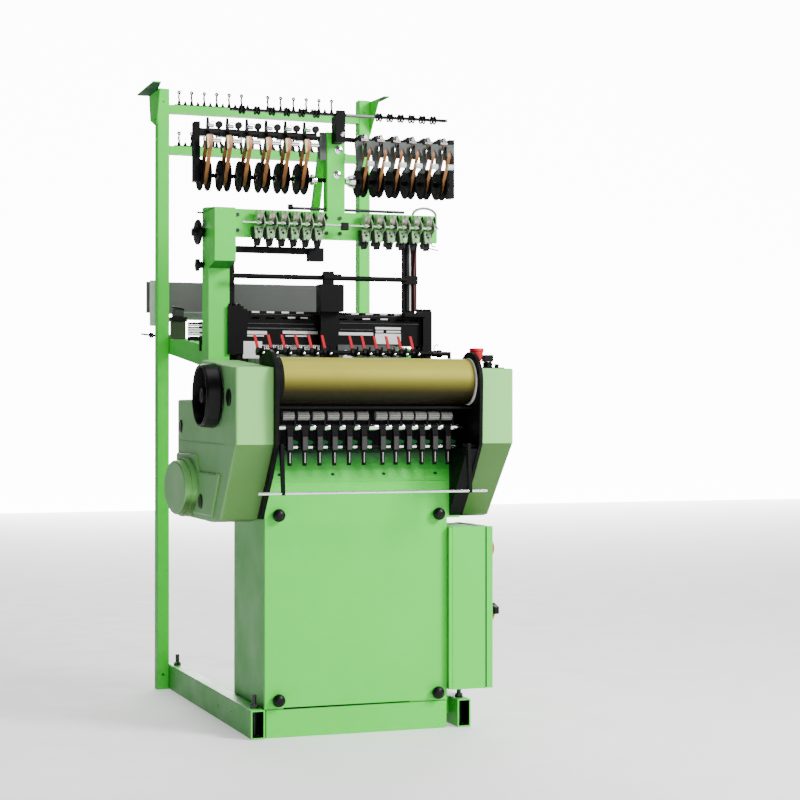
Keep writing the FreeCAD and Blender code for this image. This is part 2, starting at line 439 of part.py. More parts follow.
def heald_guide(x0, x1, groove0, groove1, cap):
    """Grooved upright the frame ends slide in, with a cap plate in front and a foot that carries the sley shaft."""
    post = fuse(box(x0, x1, 330, GUIDE_Y1, BED_TOP, 1497), box(x0, x1, 246, 330, BED_TOP, 1110), box(*cap))
    grooves = [box(groove0, groove1, y - 0.6, y + HEALD_T + 0.6, 1060, 1530) for y in heald_slots]
    return post.cut(grooves + [cyl_x(x0 - 1, x1 + 1, SLEY_Y, SLEY_Z, 8 + RUN)])


guide_left = heald_guide(38, 76, 61, 77, (3, 60, 322, 330, 1333, 1507))
guide_right = heald_guide(764, 787, 763, 779, (752, 787, 322, 330, 1337, 1497))
PARTS["heald_guides"] = group([guide_left, guide_right])

top_slots = [box(x, x + 34, -500, 900, z, z + 7) for x in range(92, 730, 56) for z in (1462, 1480)]
for number, y in enumerate(heald_slots, start=1):
    frame = box(HEALD_X0, HEALD_X1, y, y + HEALD_T, HEALD_Z0, HEALD_Z1)
    frame = frame.cut(box(HEALD_X0 + 20, HEALD_X1 - 20, y - 1, y + HEALD_T + 1, HEALD_Z0 + 30, 1372))
    PARTS["heald_frame_%d" % number] = frame.cut(top_slots)

# sley: one rocking shaft, two arms, a cross bar and a reed for every tape
sley = fuse(cyl_x(50, 775, SLEY_Y, SLEY_Z, 8),
            *[fuse(box(x, x + 14, SLEY_Y - 8, SLEY_Y + 8, SLEY_Z, 1100), cyl_x(x, x + 14, SLEY_Y, SLEY_Z, 14))
              for x in (92, 424, 734)],
            box(82, 756, SLEY_Y - 9, SLEY_Y + 9, 1092, 1112))
reeds = [box(x - 19, x + 19, SLEY_Y - 4, SLEY_Y + 4, 1112, 1205).cut(
    [box(x - 15 + 3 * i, x - 14 + 3 * i, SLEY_Y - 5, SLEY_Y + 5, 1122, 1197) for i in range(10)])
    for x in HEADS]
PARTS["sley"] = fuse(sley, *reeds)

PARTS["centre_support"] = fuse(
    box(342, 410, 290, 306, BED_TOP, 1500), box(329, 400, 250, 306, 1488, 1588),
    box(352, 386, 270, 306, 1588, 1636), cyl_x(34, 672, 290, 1613, 7))
PARTS["support_post_right"] = fuse(
    box(672, 716, 320, 340, 1478, BEAM_Z0), box(672, 760, 300, 322, 1478, 1492),
    box(672, 716, 282, 320, 1598, 1628))

LEVER_Y, LEVER_Z = 105.0, 1335.0
bar = fuse(cyl_x(50, 775, LEVER_Y, LEVER_Z, 8),
           box(60, 68, LEVER_Y - 8, LEVER_Y + 8, 1205, LEVER_Z), box(50, 68, LEVER_Y - 8, LEVER_Y + 8, 1205, 1225),
           box(767, 775, LEVER_Y - 8, LEVER_Y + 8, 1205, LEVER_Z),
           box(380, 388, LEVER_Y, 290, LEVER_Z - 6, LEVER_Z + 6))
clamps = [fuse(cyl_x(x + 6, x + 20, LEVER_Y, LEVER_Z, 14), box(x + 8, x + 18, LEVER_Y - 26, LEVER_Y - 11, 1322, 1340),
               cyl_z(1340, 1356, x + 13, LEVER_Y - 20, 3)) for x in LEVERS]
PARTS["lever_bar"] = fuse(bar, *clamps)


def lever(x):
    hub = tube_x(x - 5, x + 5, LEVER_Y, LEVER_Z, 12, 8 + RUN)
    blade = prism_y([(x - 4, 1344), (x + 6, 1344), (x - 7, 1396), (x - 16, 1396)], LEVER_Y - 3, LEVER_Y + 3)
    return fuse(hub, blade)


PARTS["levers_left"] = group([lever(x) for x in LEVERS[:6]])
PARTS["levers_right"] = group([lever(x) for x in LEVERS[6:]])

# ---------------------------------------------------------------- table behind the harness, tray and rods
SLOPE0, SLOPE1 = (430.0, 1268.0, 1350.0), (POST_Y + POST_D, 1364.0, 1441.0)


def table_beam(x0, x1, y_front):
    (ya, la, ha), (yb, lb, hb) = SLOPE0, SLOPE1
    t = (y_front - ya) / (yb - ya)
    lf, hf = la + t * (lb - la), ha + t * (hb - ha)
    return prism_x([(y_front, lf), (yb, lb), (yb, hb), (y_front, hf)], x0, x1)


PARTS["table_frame"] = fuse(table_beam(0, 16, 430), table_beam(796, 812, 520), box(10, 800, 530, 566, 1290, 1350),
                             box(10, 800, 1266, POST_Y + POST_D, 1384, 1424))
PARTS["warp_rods"] = group([cyl_x(16, 796, y, z, 7) for y, z in
                            ((610, 1338), (700, 1348), (790, 1358), (880, 1368), (970, 1378), (1060, 1388))])
tray_y = POST_Y + POST_D
tray = fuse(box(-85, 650, tray_y, tray_y + 3, 1527, 1655), box(2, 650, tray_y - 60, tray_y + 3, 1524, 1527),
            *[box(x, x + 30, tray_y, tray_y + 3, 1384, 1530) for x in (30, 600)])
PARTS["warp_tray"] = tray

# ---------------------------------------------------------------- creel frame at the back
for side_name, px in (("left", -POST_W), ("right", 812.0)):
    post = box(px, px + POST_W, POST_Y, POST_Y + POST_D, 0, POST_H)
    post = soften(post, 5, lambda c: abs(c.z - POST_H / 2) < 1)
    post = post.cut([box(px + 4, px + POST_W - 4, POST_Y + 4, POST_Y + POST_D - 4, 4, POST_H - 4),
                     cyl_y(POST_Y - 1, POST_Y + 6, px + 25, 60, 5), cyl_y(POST_Y - 1, POST_Y + 6, px + 25, 2384, 3)])
    if side_name == "left":
        ear = [(-108, 1067), (-76, 1067), (px, 1245), (px, 1400), (-102, 1400)]
        flange_x, front = px - 3, 1192
    else:
        ear = [(892, 1090), (870, 1090), (px + POST_W, 1245), (px + POST_W, 1400), (892, 1400)]
        flange_x, front = px + POST_W, 1135
    wing = Part.Face(Part.makePolygon([V(x, y, 2428) for x, y in ear + ear[:1]])).extrude(V(0, 0, 5))
    web = prism_x([(front, 2429), (1400, 2429), (1376, 2322), (1290, 2292), (1255, 2292)], flange_x, flange_x + 3)
    stud = cyl_x(flange_x - 6, flange_x + 9, 1275, 2306, 9)
    stud = stud.common(box(px - 9, px + 0.1, 1200, 1400, 2200, 2400) if side_name == "left"
                       else box(px + POST_W - 0.1, px + POST_W + 9, 1200, 1400, 2200, 2400))
    PARTS["creel_post_" + side_name] = fuse(post, wing, web, stud)
PARTS["creel_crossbars"] = group([box(0, 812, 1252, 1290, z0, z0 + 34) for z0 in (2172.0, 2339.0)])


def eyelet_row(z):
    wires = [fuse(cyl_z(z + 5, z + 50, x, 1262, 2.8),
                  Part.makeTorus(4.6, 2.4, V(x, 1262, z + 54), V(0, 1, 0)),
                  Part.makeCone(8, 2.8, 20, V(x, 1262, z + 5))) for x in EYELETS]
    hooks = [Part.makeCone(8, 2, 14, V(x + 26, 1262, z + 5)) for x in EYELETS if x < 700]
    return [box(22, 760, 1259, 1265, z, z + 5)] + wires + hooks


PARTS["creel_eyelets"] = group(eyelet_row(2373.0) + eyelet_row(2206.0))

# ---------------------------------------------------------------- shift to the part frame and write
whole = Part.makeCompound([shape for shape in PARTS.values()])
extent = whole.optimalBoundingBox(True, False)
ORIGIN = V(-(extent.XMin + extent.XMax) / 2, -(extent.YMin + extent.YMax) / 2, -extent.ZMin)
os.makedirs("parts", exist_ok=True)
for name, shape in PARTS.items():
    placed = shape.copy()
    placed.translate(ORIGIN)
    placed.exportStep("parts/" + name + ".step")
print(len(PARTS), "nodes; origin shift", ORIGIN)
print("overall size", extent.XLength, extent.YLength, extent.ZLength)
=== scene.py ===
import math
import bmesh
import bpy
import numpy as np
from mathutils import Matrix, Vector


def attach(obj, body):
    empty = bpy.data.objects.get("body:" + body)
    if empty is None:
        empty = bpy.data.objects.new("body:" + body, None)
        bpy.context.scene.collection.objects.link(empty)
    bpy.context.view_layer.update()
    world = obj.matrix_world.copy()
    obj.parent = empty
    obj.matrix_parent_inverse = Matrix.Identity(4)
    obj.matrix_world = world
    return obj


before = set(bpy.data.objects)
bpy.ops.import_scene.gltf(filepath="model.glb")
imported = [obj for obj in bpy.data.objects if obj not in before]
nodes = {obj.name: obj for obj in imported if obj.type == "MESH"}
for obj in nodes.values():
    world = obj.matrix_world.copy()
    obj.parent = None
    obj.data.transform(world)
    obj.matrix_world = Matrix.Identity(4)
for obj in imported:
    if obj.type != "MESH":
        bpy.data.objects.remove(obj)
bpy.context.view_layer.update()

# %% [markdown]
# ## Sizes first
# The imported part is the fixed frame.


# %% [markdown]
# The loom is measured from the front outer corner of its left base rail, in millimetres.
# `at` turns such a point into the part's own frame, in metres.

# %%
SHIFT = (-0.3805, -0.607, 0.0)
MM_PER_M = 1000
X_AXIS, Y_AXIS, Z_AXIS = (1, 0, 0), (0, 1, 0), (0, 0, 1)
SKEW = (0.3, 0.2, 0.93)          # parallel to no axis used here, so a cross product with it never vanishes
SKEW_TUBE = (0.31, 0.17, 0.93)   # the same, for tubes
SHARP_DEGREES = 35


def at(x, y, z):
    """A loom point in mm, as a point of the part's frame in metres."""
    return np.array((x / MM_PER_M + SHIFT[0], y / MM_PER_M + SHIFT[1], z / MM_PER_M + SHIFT[2]))


def around(axis):
    """The unit axis, and two unit directions square to it."""
    axis = np.array(axis, float) / np.linalg.norm(axis)
    side = np.cross(axis, SKEW)
    side /= np.linalg.norm(side)
    return axis, side, np.cross(axis, side)


# %% [markdown]
# ## A small mesh builder
# Every added piece is worked out as points and faces. One builder collects many simple solids and
# makes a single object of them, standing at the origin.

# %%
class Build:
    """Collects simple solids, then makes one object of them."""

    def __init__(self):
        self.points, self.faces, self.count = [], [], 0

    def add(self, points, faces):
        points = np.asarray(points, float)
        self.points.append(points)
        self.faces += [tuple(i + self.count for i in face) for face in faces]
        self.count += len(points)
        return self

    def block(self, x0, x1, y0, y1, z0, z1, chamfer=0.6):
        """Box between millimetre limits, with small chamfers on every edge."""
        c = min(chamfer, (x1 - x0) * 0.3, (y1 - y0) * 0.3, (z1 - z0) * 0.3)
        corners = []
        for sx, x in ((1, x0), (-1, x1)):
            for sy, y in ((1, y0), (-1, y1)):
                for sz, z in ((1, z0), (-1, z1)):
                    corners += [(x, y + sy * c, z + sz * c), (x + sx * c, y, z + sz * c),
                                (x + sx * c, y + sy * c, z)]
        return self.hull(corners)

    def hull(self, corners):
        """Convex solid round the given millimetre points."""
        work = bmesh.new()
        for corner in corners:
            work.verts.new(at(*corner))
        bmesh.ops.convex_hull(work, input=work.verts)
        bmesh.ops.dissolve_limit(work, angle_limit=0.02, verts=work.verts, edges=work.edges)
        work.verts.index_update()
        self.add([v.co[:] for v in work.verts], [[v.index for v in f.verts] for f in work.faces])
        work.free()
        return self

    def slab(self, outline, y0, y1):
        """Convex outline of (x, z) in mm, given a thickness from y0 to y1."""
        return self.hull([(x, y, z) for y in (y0, y1) for x, z in outline])

    def lathe(self, profile, centre, axis, steps=28):
        """Profile of (distance along the axis, radius) in mm, turned about an axis through centre."""
        axis, side, other = around(axis)
        angle = np.linspace(0, 2 * math.pi, steps, endpoint=False)
        ring = np.cos(angle)[:, None] * side + np.sin(angle)[:, None] * other
        base = at(*centre)
        rows = [base + axis * offset / MM_PER_M + ring * max(radius, 0.01) / MM_PER_M
                for offset, radius in profile]
        faces = []
        for i in range(len(profile) - 1):
            for j in range(steps):
                k = (j + 1) % steps
                faces.append((i * steps + j, i * steps + k, (i + 1) * steps + k, (i + 1) * steps + j))
        last = (len(profile) - 1) * steps
        faces.append(tuple(range(steps))[::-1])
        faces.append(tuple(last + j for j in range(steps)))
        return self.add(np.vstack(rows), faces)

    def ring(self, centre, axis, radius, wire, steps=24, sides=8):
        """Closed wire ring, all sizes in mm."""
        axis, side, other = around(axis)
        path = [np.array(centre, float) + radius * (math.cos(a) * side + math.sin(a) * other)
                for a in np.linspace(0, 2 * math.pi, steps, endpoint=False)]
        return self.tube(path, wire, sides, closed=True)

    def tube(self, path, radius, sides=8, closed=False):
        """Round wire or hose along millimetre points."""
        p = np.array([at(*q) for q in path])
        n = len(p)
        after = np.roll(p, -1, 0) if closed else np.vstack([p[1:], p[-1:] * 2 - p[-2:-1]])
        before = np.roll(p, 1, 0) if closed else np.vstack([p[:1] * 2 - p[1:2], p[:-1]])
        tangents = after - before
        tangents /= np.linalg.norm(tangents, axis=1)[:, None] + 1e-12
        normal = np.cross(tangents[0], SKEW_TUBE)
        frames = []
        for t in tangents:
            normal = normal - t * np.dot(normal, t)
            normal /= np.linalg.norm(normal) + 1e-12
            frames.append((normal.copy(), np.cross(t, normal)))
        angle = np.linspace(0, 2 * math.pi, sides, endpoint=False)
        rows = [c + (np.cos(angle)[:, None] * a + np.sin(angle)[:, None] * b) * radius / MM_PER_M
                for c, (a, b) in zip(p, frames)]
        faces = []
        for i in range(n if closed else n - 1):
            m = (i + 1) % n
            for j in range(sides):
                k = (j + 1) % sides
                faces.append((i * sides + j, i * sides + k, m * sides + k, m * sides + j))
        if not closed:
            faces.append(tuple(range(sides))[::-1])
            faces.append(tuple((n - 1) * sides + j for j in range(sides)))
        return self.add(np.vstack(rows), faces)

    def make(self, name, material, body):
        """One object from everything collected, riding on a body."""
        mesh = bpy.data.meshes.new(name)
        points = np.vstack(self.points)
        mesh.from_pydata(points.tolist(), [], self.faces)
        mesh.update()
        mesh.materials.append(material)
        mesh.polygons.foreach_set("use_smooth", [True] * len(mesh.polygons))
        mesh.set_sharp_from_angle(angle=math.radians(SHARP_DEGREES))
        made = bpy.data.objects.new(name, mesh)
        bpy.context.scene.collection.objects.link(made)
        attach(made, body)
        print("%-24s rides on %-16s %6d faces" % (name, body, len(mesh.polygons)))
        return made


# %% [markdown]
# ## Shared surface effects
# Three node groups are made once and used in many materials: a fine grain for height, soft blotches
# for tone, and dust that settles on faces turned upward.

# %%
def start_group(name, inputs, outputs):
    """A new node group with named number sockets."""
    group = bpy.data.node_groups.new(name, "ShaderNodeTree")
    for label, value in inputs:
        socket = group.interface.new_socket(label, in_out="INPUT", socket_type="NodeSocketFloat")
        socket.default_value = value
    for label in outputs:
        group.interface.new_socket(label, in_out="OUTPUT", socket_type="NodeSocketFloat")
    return group, group.nodes.new("NodeGroupInput"), group.nodes.new("NodeGroupOutput")


def noise(tree, scale_socket, detail=3.0, roughness=0.5):
    place = tree.nodes.new("ShaderNodeTexCoord")
    made = tree.nodes.new("ShaderNodeTexNoise")
    made.inputs["Detail"].default_value = detail
    made.inputs["Roughness"].default_value = roughness
    tree.links.new(place.outputs["Object"], made.inputs["Vector"])
    if isinstance(scale_socket, (int, float)):
        made.inputs["Scale"].default_value = scale_socket
    else:
        tree.links.new(scale_socket, made.inputs["Scale"])
    return made


def stretch(tree, source, low, high, to_low=0.0, to_high=1.0):
    made = tree.nodes.new("ShaderNodeMapRange")
    made.inputs["From Min"].default_value = low
    made.inputs["From Max"].default_value = high
    made.inputs["To Min"].default_value = to_low
    made.inputs["To Max"].default_value = to_high
    tree.links.new(source, made.inputs["Value"])
    return made.outputs["Result"]


def maths(tree, operation, first, second=None):
    made = tree.nodes.new("ShaderNodeMath")
    made.operation = operation
    tree.links.new(first, made.inputs[0])
    if second is not None:
        tree.links.new(second, made.inputs[1])
    return made.outputs[0]


def split_xyz(tree, vector):
    made = tree.nodes.new("ShaderNodeSeparateXYZ")
    tree.links.new(vector, made.inputs["Vector"])
    return made.outputs


def normal_xyz(tree):
    return split_xyz(tree, tree.nodes.new("ShaderNodeNewGeometry").outputs["Normal"])


def place_xyz(tree):
    return split_xyz(tree, tree.nodes.new("ShaderNodeTexCoord").outputs["Object"])


# %% [markdown]
# Grain gives a height value, blotch a slow mask, and dust a mask that follows the upward normal.

# %%
grain_group, grain_in, grain_out = start_group("Grain", [("Scale", 300.0)], ["Height"])
fine = noise(grain_group, grain_in.outputs["Scale"], 2.0)
grain_group.links.new(fine.outputs["Fac"], grain_out.inputs["Height"])

blotch_group, blotch_in, blotch_out = start_group("Blotch", [("Scale", 6.0)], ["Mask"])
slow = noise(blotch_group, blotch_in.outputs["Scale"], 5.0, 0.6)
blotch_group.links.new(stretch(blotch_group, slow.outputs["Fac"], 0.35, 0.68), blotch_out.inputs["Mask"])

dust_group, dust_in, dust_out = start_group("Dust", [("Amount", 0.3)], ["Mask"])
upward = stretch(dust_group, normal_xyz(dust_group)["Z"], 0.6, 1.0)
specks = stretch(dust_group, noise(dust_group, 34.0, 8.0, 0.7).outputs["Fac"], 0.4, 0.75)
settled = maths(dust_group, "MULTIPLY", upward, specks)
weighed = maths(dust_group, "MULTIPLY", settled, dust_in.outputs["Amount"])
dust_group.links.new(weighed, dust_out.inputs["Mask"])
print("groups:", [g.name for g in bpy.data.node_groups])

# %% [markdown]
# Edge wear compares the true normal with one rounded over about two millimetres: they differ only
# near an edge, where paint thins first.

# %%
WEAR_WIDTH = 0.0022    # metres

edge_group, edge_in, edge_out = start_group("Edge wear", [("Amount", 0.5)], ["Mask"])
rounded = edge_group.nodes.new("ShaderNodeBevel")
rounded.samples = 4
rounded.inputs["Radius"].default_value = WEAR_WIDTH
true_normal = edge_group.nodes.new("ShaderNodeNewGeometry")
match = edge_group.nodes.new("ShaderNodeVectorMath")
match.operation = "DOT_PRODUCT"
edge_group.links.new(rounded.outputs["Normal"], match.inputs[0])
edge_group.links.new(true_normal.outputs["Normal"], match.inputs[1])
near_edge = stretch(edge_group, match.outputs["Value"], 0.97, 0.80)
broken = stretch(edge_group, noise(edge_group, 60.0, 4.0, 0.7).outputs["Fac"], 0.42, 0.62)
worn = maths(edge_group, "MULTIPLY", near_edge, broken)
edge_group.links.new(maths(edge_group, "MULTIPLY", worn, edge_in.outputs["Amount"]), edge_out.inputs["Mask"])


# %% [markdown]
# ## Materials
# One recipe covers nearly all surfaces: a base colour with a slightly different blotch colour, grain
# in the height, optional dust and edge wear.

# %%
def use_group(tree, group, **settings):
    made = tree.nodes.new("ShaderNodeGroup")
    made.node_tree = group
    for label, value in settings.items():
        made.inputs[label].default_value = value
    return made


def mix_colour(tree, mask, first, second):
    made = tree.nodes.new("ShaderNodeMix")
    made.data_type = "RGBA"
    tree.links.new(mask, made.inputs["Factor"])
    for value, label in ((first, 6), (second, 7)):
        if isinstance(value, tuple):
            made.inputs[label].default_value = (*value, 1.0)
        else:
            tree.links.new(value, made.inputs[label])
    return made.outputs[2]


DUST_COLOUR = (0.55, 0.54, 0.50)
SMOOTHEST, ROUGHEST = 0.88, 1.15    # how far the blotches move the roughness
BARE_COLOUR = (0.30, 0.31, 0.30)


def surface_material(name, colour, blotch, roughness=0.4, metallic=0.0, grain=300.0, bump=0.02, dust=0.0,
                     wear=0.0, blotch_scale=6.0, wear_colour=BARE_COLOUR, shine=0.5):
    """Colours are linear; grain is its scale, bump its height in mm; dust and wear are amounts."""
    material = bpy.data.materials.new(name)
    material.use_nodes = True
    tree = material.node_tree
    shader = tree.nodes["Principled BSDF"]
    shader.inputs["Metallic"].default_value = metallic
    shader.inputs["Specular IOR Level"].default_value = shine
    mask = use_group(tree, blotch_group, Scale=blotch_scale).outputs["Mask"]
    tone = mix_colour(tree, mask, colour, blotch)
    if wear:
        tone = mix_colour(tree, use_group(tree, edge_group, Amount=wear).outputs["Mask"], tone, wear_colour)
    if dust:
        tone = mix_colour(tree, use_group(tree, dust_group, Amount=dust).outputs["Mask"], tone, DUST_COLOUR)
    tree.links.new(tone, shader.inputs["Base Color"])
    tree.links.new(stretch(tree, mask, 0.0, 1.0, roughness * SMOOTHEST, min(1.0, roughness * ROUGHEST)),
                   shader.inputs["Roughness"])
    height = tree.nodes.new("ShaderNodeBump")
    height.inputs["Strength"].default_value = 1.0
    height.inputs["Distance"].default_value = bump / MM_PER_M
    tree.links.new(use_group(tree, grain_group, Scale=grain).outputs["Height"], height.inputs["Height"])
    tree.links.new(height.outputs["Normal"], shader.inputs["Normal"])
    return material


def tint(material, mask, colour):
    """Blend a colour into a material's base colour where the mask is high."""
    tree = material.node_tree
    base = tree.nodes["Principled BSDF"].inputs["Base Color"]
    tree.links.new(mix_colour(tree, mask, base.links[0].from_socket, colour), base)


# %% [markdown]
# Machine green is a satin enamel; the covers are a paler green. Black parts are a satin
# powder coat or plastic, with little shine.

# %%
green = surface_material("machine green", (0.060, 0.700, 0.054), (0.056, 0.675, 0.050), 0.46, grain=420,
                         bump=0.03, dust=0.10, wear=0.25, shine=0.3)
cover_green = surface_material("cover green", (0.250, 0.660, 0.185), (0.240, 0.640, 0.178), 0.50, grain=500,
                               bump=0.02, dust=0.08, wear=0.10, shine=0.3)
deep_green = surface_material("deep green", (0.006, 0.060, 0.016), (0.005, 0.048, 0.013), 0.75, shine=0.04)
dull_black = surface_material("moulded disc", (0.0012, 0.0012, 0.0013), (0.0026, 0.0024, 0.0024), 0.60,
                              shine=0.05)
black = surface_material("black paint", (0.0016, 0.0016, 0.0018), (0.0032, 0.0032, 0.0035), 0.55, grain=600,
                         bump=0.03, dust=0.02, wear=0.30, wear_colour=(0.02, 0.02, 0.02), shine=0.10)
plastic = surface_material("black plastic", (0.0018, 0.0018, 0.0020), (0.0032, 0.0032, 0.0035), 0.38,
                           grain=800, shine=0.18)
dark_metal = surface_material("dark metal", (0.045, 0.048, 0.050), (0.020, 0.021, 0.022), 0.38, metallic=0.7,
                              blotch_scale=30, wear=0.5)
housing_grey = surface_material("housing grey", (0.050, 0.064, 0.055), (0.030, 0.040, 0.034), 0.50,
                                blotch_scale=25, wear=0.4)
red = surface_material("red plastic", (0.60, 0.004, 0.020), (0.52, 0.004, 0.016), 0.45, shine=0.25)
cable_red = surface_material("cable red", (0.075, 0.004, 0.008), (0.060, 0.003, 0.006), 0.50)
olive = surface_material("olive paint", (0.030, 0.060, 0.014), (0.022, 0.044, 0.010), 0.50)
pale_yellow = surface_material("pale yellow", (0.62, 0.58, 0.20), (0.76, 0.72, 0.42), 0.45, blotch_scale=25)
white_plastic = surface_material("white plastic", (0.80, 0.81, 0.80), (0.66, 0.67, 0.66), 0.45,
                                 blotch_scale=25)
cream = surface_material("worn disc", (0.52, 0.50, 0.40), (0.82, 0.80, 0.74), 0.32, metallic=0.4,
                         blotch_scale=40)
unit_green = surface_material("unit green", (0.060, 0.24, 0.065), (0.42, 0.58, 0.34), 0.38, wear=0.8,
                              dust=0.1, blotch_scale=90)
grey_sheet = surface_material("grey sheet", (0.042, 0.044, 0.043), (0.050, 0.052, 0.051), 0.62, dust=0.1,
                              blotch_scale=3)
pale_sheet = surface_material("pale sheet", (0.26, 0.29, 0.27), (0.22, 0.25, 0.23), 0.55)
chrome = surface_material("chrome", (0.86, 0.87, 0.88), (0.74, 0.75, 0.76), 0.14, metallic=1.0, bump=0.002)
steel = surface_material("ground steel", (0.50, 0.50, 0.51), (0.36, 0.36, 0.37), 0.34, metallic=1.0,
                         bump=0.01)
zinc = surface_material("zinc plate", (0.46, 0.46, 0.44), (0.34, 0.33, 0.31), 0.40, metallic=0.9,
                        blotch_scale=40)
press_grey = surface_material("ribbed grey", (0.36, 0.36, 0.345), (0.30, 0.295, 0.28), 0.50, metallic=0.2)
brass = surface_material("brass", (0.62, 0.34, 0.07), (0.52, 0.26, 0.05), 0.30, metallic=0.9)
arm_face_grey = surface_material("arm face grey", (0.017, 0.016, 0.016), (0.011, 0.010, 0.010), 0.5,
                              blotch_scale=40)
print(len(bpy.data.materials), "materials so far")

# %% [markdown]
# The take-off roller is wrapped in a fine gold surface. Its lower half carries painted shade: a mask that
# follows the downward normal blends in a dark brown, in two steps. The green paints get painted shade on
# their undersides in the same way.

# %%
underside_shade_group, under_in, under_out = start_group("Underside shade", [("Start", 0.34), ("End", -0.46)], ["Mask"])
fall = underside_shade_group.nodes.new("ShaderNodeMapRange")
underside_shade_group.links.new(normal_xyz(underside_shade_group)["Z"], fall.inputs["Value"])
underside_shade_group.links.new(under_in.outputs["Start"], fall.inputs["From Min"])
underside_shade_group.links.new(under_in.outputs["End"], fall.inputs["From Max"])
underside_shade_group.links.new(fall.outputs["Result"], under_out.inputs["Mask"])


def paint_underside_shade(material, colour, **limits):
    """Painted shade: blend a darker colour into the faces that look down."""
    tint(material, use_group(material.node_tree, underside_shade_group, **limits).outputs["Mask"], colour)


gold = surface_material("gold wrap", (0.375, 0.350, 0.042), (0.355, 0.330, 0.046), 0.50, metallic=0.15,
                        grain=900, bump=0.03, blotch_scale=9, shine=0.15)
# painted shade on the roller's lower half, in two steps
paint_underside_shade(gold, (0.050, 0.040, 0.002), Start=0.42, End=-0.50)
paint_underside_shade(gold, (0.007, 0.005, 0.0002), Start=0.12, End=-0.75)
# painted shade on the undersides of the cover green and the machine green
paint_underside_shade(cover_green, (0.045, 0.120, 0.016), Start=-0.25, End=-0.70)
paint_underside_shade(green, (0.010, 0.100, 0.012), Start=-0.35, End=-0.90)

# %% [markdown]
# The press rollers are ribbed. The angle round their shared axis, times the rib count, gives painted shade in
# the grooves, which turns with the roller.

# %%
PRESS_CENTRE = {"Centre Y": -0.667, "Centre Z": 1.111}    # axis of the press rollers, in metres

rib_group, rib_in, rib_out = start_group("Ribs", [("Centre Y", 0.0), ("Centre Z", 0.0), ("Count", 12.0)],
                                         ["Mask"])
rib_place = place_xyz(rib_group)
across = maths(rib_group, "SUBTRACT", rib_place["Y"], rib_in.outputs["Centre Y"])
above = maths(rib_group, "SUBTRACT", rib_place["Z"], rib_in.outputs["Centre Z"])
angle = maths(rib_group, "ARCTAN2", above, across)
turned = maths(rib_group, "MULTIPLY", angle, rib_in.outputs["Count"])
rib_group.links.new(stretch(rib_group, maths(rib_group, "SINE", turned), 0.1, 0.8), rib_out.inputs["Mask"])

rib_groove_shade = use_group(press_grey.node_tree, rib_group, **PRESS_CENTRE)
# painted shade in the grooves between the ribs
tint(press_grey, rib_groove_shade.outputs["Mask"], (0.11, 0.11, 0.10))

# %% [markdown]
# Three tones of painted light follow direction or place: painted shade on the low left flanks, a painted
# shadow on the upper apron of the bed, and painted light on the back of the warp tray, lighter towards its
# left end.

# %%
def along(tree, axis, low, high):
    """Mask that rises from 0 to 1 between two places on an axis, in metres."""
    return stretch(tree, place_xyz(tree)[axis], low, high)


def shade_left_flank(material, colour):
    """Painted shade: blend a darker colour into low faces that look to the left."""
    tree = material.node_tree
    leftward = stretch(tree, normal_xyz(tree)["X"], -0.50, -0.92)
    tint(material, maths(tree, "MULTIPLY", leftward, along(tree, "Z", 1.50, 1.20)), colour)


# painted shade on the low left flanks of both greens
shade_left_flank(green, (0.040, 0.290, 0.036))
shade_left_flank(cover_green, (0.120, 0.330, 0.110))

# A copy of machine green for the bed carries a painted shadow that darkens the top of its front apron.
shadowed_bed_green = green.copy()
shadowed_bed_green.name = "bed green, painted shadow"
bed_tree = shadowed_bed_green.node_tree
apron_shadow = maths(bed_tree, "MULTIPLY", along(bed_tree, "Z", 0.880, 0.985), along(bed_tree, "Y", -0.440, -0.480))
tint(shadowed_bed_green, apron_shadow, (0.006, 0.060, 0.018))
# painted light: the back of the warp tray is lighter towards its left end
tint(grey_sheet, along(grey_sheet.node_tree, "X", -0.150, -0.330), (0.105, 0.105, 0.102))

# %% [markdown]
# Feeder belts are brown where they run round the big discs; the top loop carries painted light, a pale
# orange.

# %%
belt_brown = surface_material("feeder belt", (0.130, 0.038, 0.003), (0.300, 0.120, 0.014), 0.50,
                              blotch_scale=22, bump=0.06)
# painted light on the top loop of each belt
tint(belt_brown, along(belt_brown.node_tree, "Z", 2.062, 2.096), (0.62, 0.24, 0.13))

# %% [markdown]
# Each CAD node gets its material here; nothing else about a node is changed.

# %%
by_node = {
    green: ["base_rail_left", "base_rail_right", "cabinet_plinth", "cabinet_body", "front_panel",
            "control_box", "control_box_door", "column_left", "feeder_beam", "feeder_post", "table_frame",
            "creel_post_left", "creel_post_right", "creel_crossbars"],
    shadowed_bed_green: ["loom_bed"],
    cover_green: ["head_cover_left", "head_cover_right"],
    black: ["side_plate_left", "side_plate_right", "breast_plate", "press_arms", "rod_arms_and_guide_bar",
            "upper_arm", "feeder_frame", "heald_guides", "centre_support", "support_post_right", "lever_bar",
            "thread_guide_bar"] + ["heald_frame_%d" % i for i in range(1, 7)],
    plastic: ["panel_knobs", "door_lock", "hand_knobs", "cover_switches", "handwheel", "column_wheel",
              "feeder_idlers", "feeder_hangers", "creel_eyelets"],
    dull_black: ["feeder_discs"],
    dark_metal: ["beam_bolts", "levelling_bolts"],
    red: ["door_stop_button", "cover_stop_button", "levers_left", "levers_right"],
    gold: ["take_off_roller"], press_grey: ["press_rollers"], chrome: ["bright_rods", "warp_rods"],
    unit_green: ["tension_units"], cream: ["tension_discs"], steel: ["sley"], belt_brown: ["feeder_belts"],
    grey_sheet: ["warp_tray"]}
for material, names in by_node.items():
    for name in names:
        nodes[name].data.materials.clear()
        nodes[name].data.materials.append(material)
left_over = set(nodes) - {n for names in by_node.values() for n in names}
print("nodes with no material:", left_over)

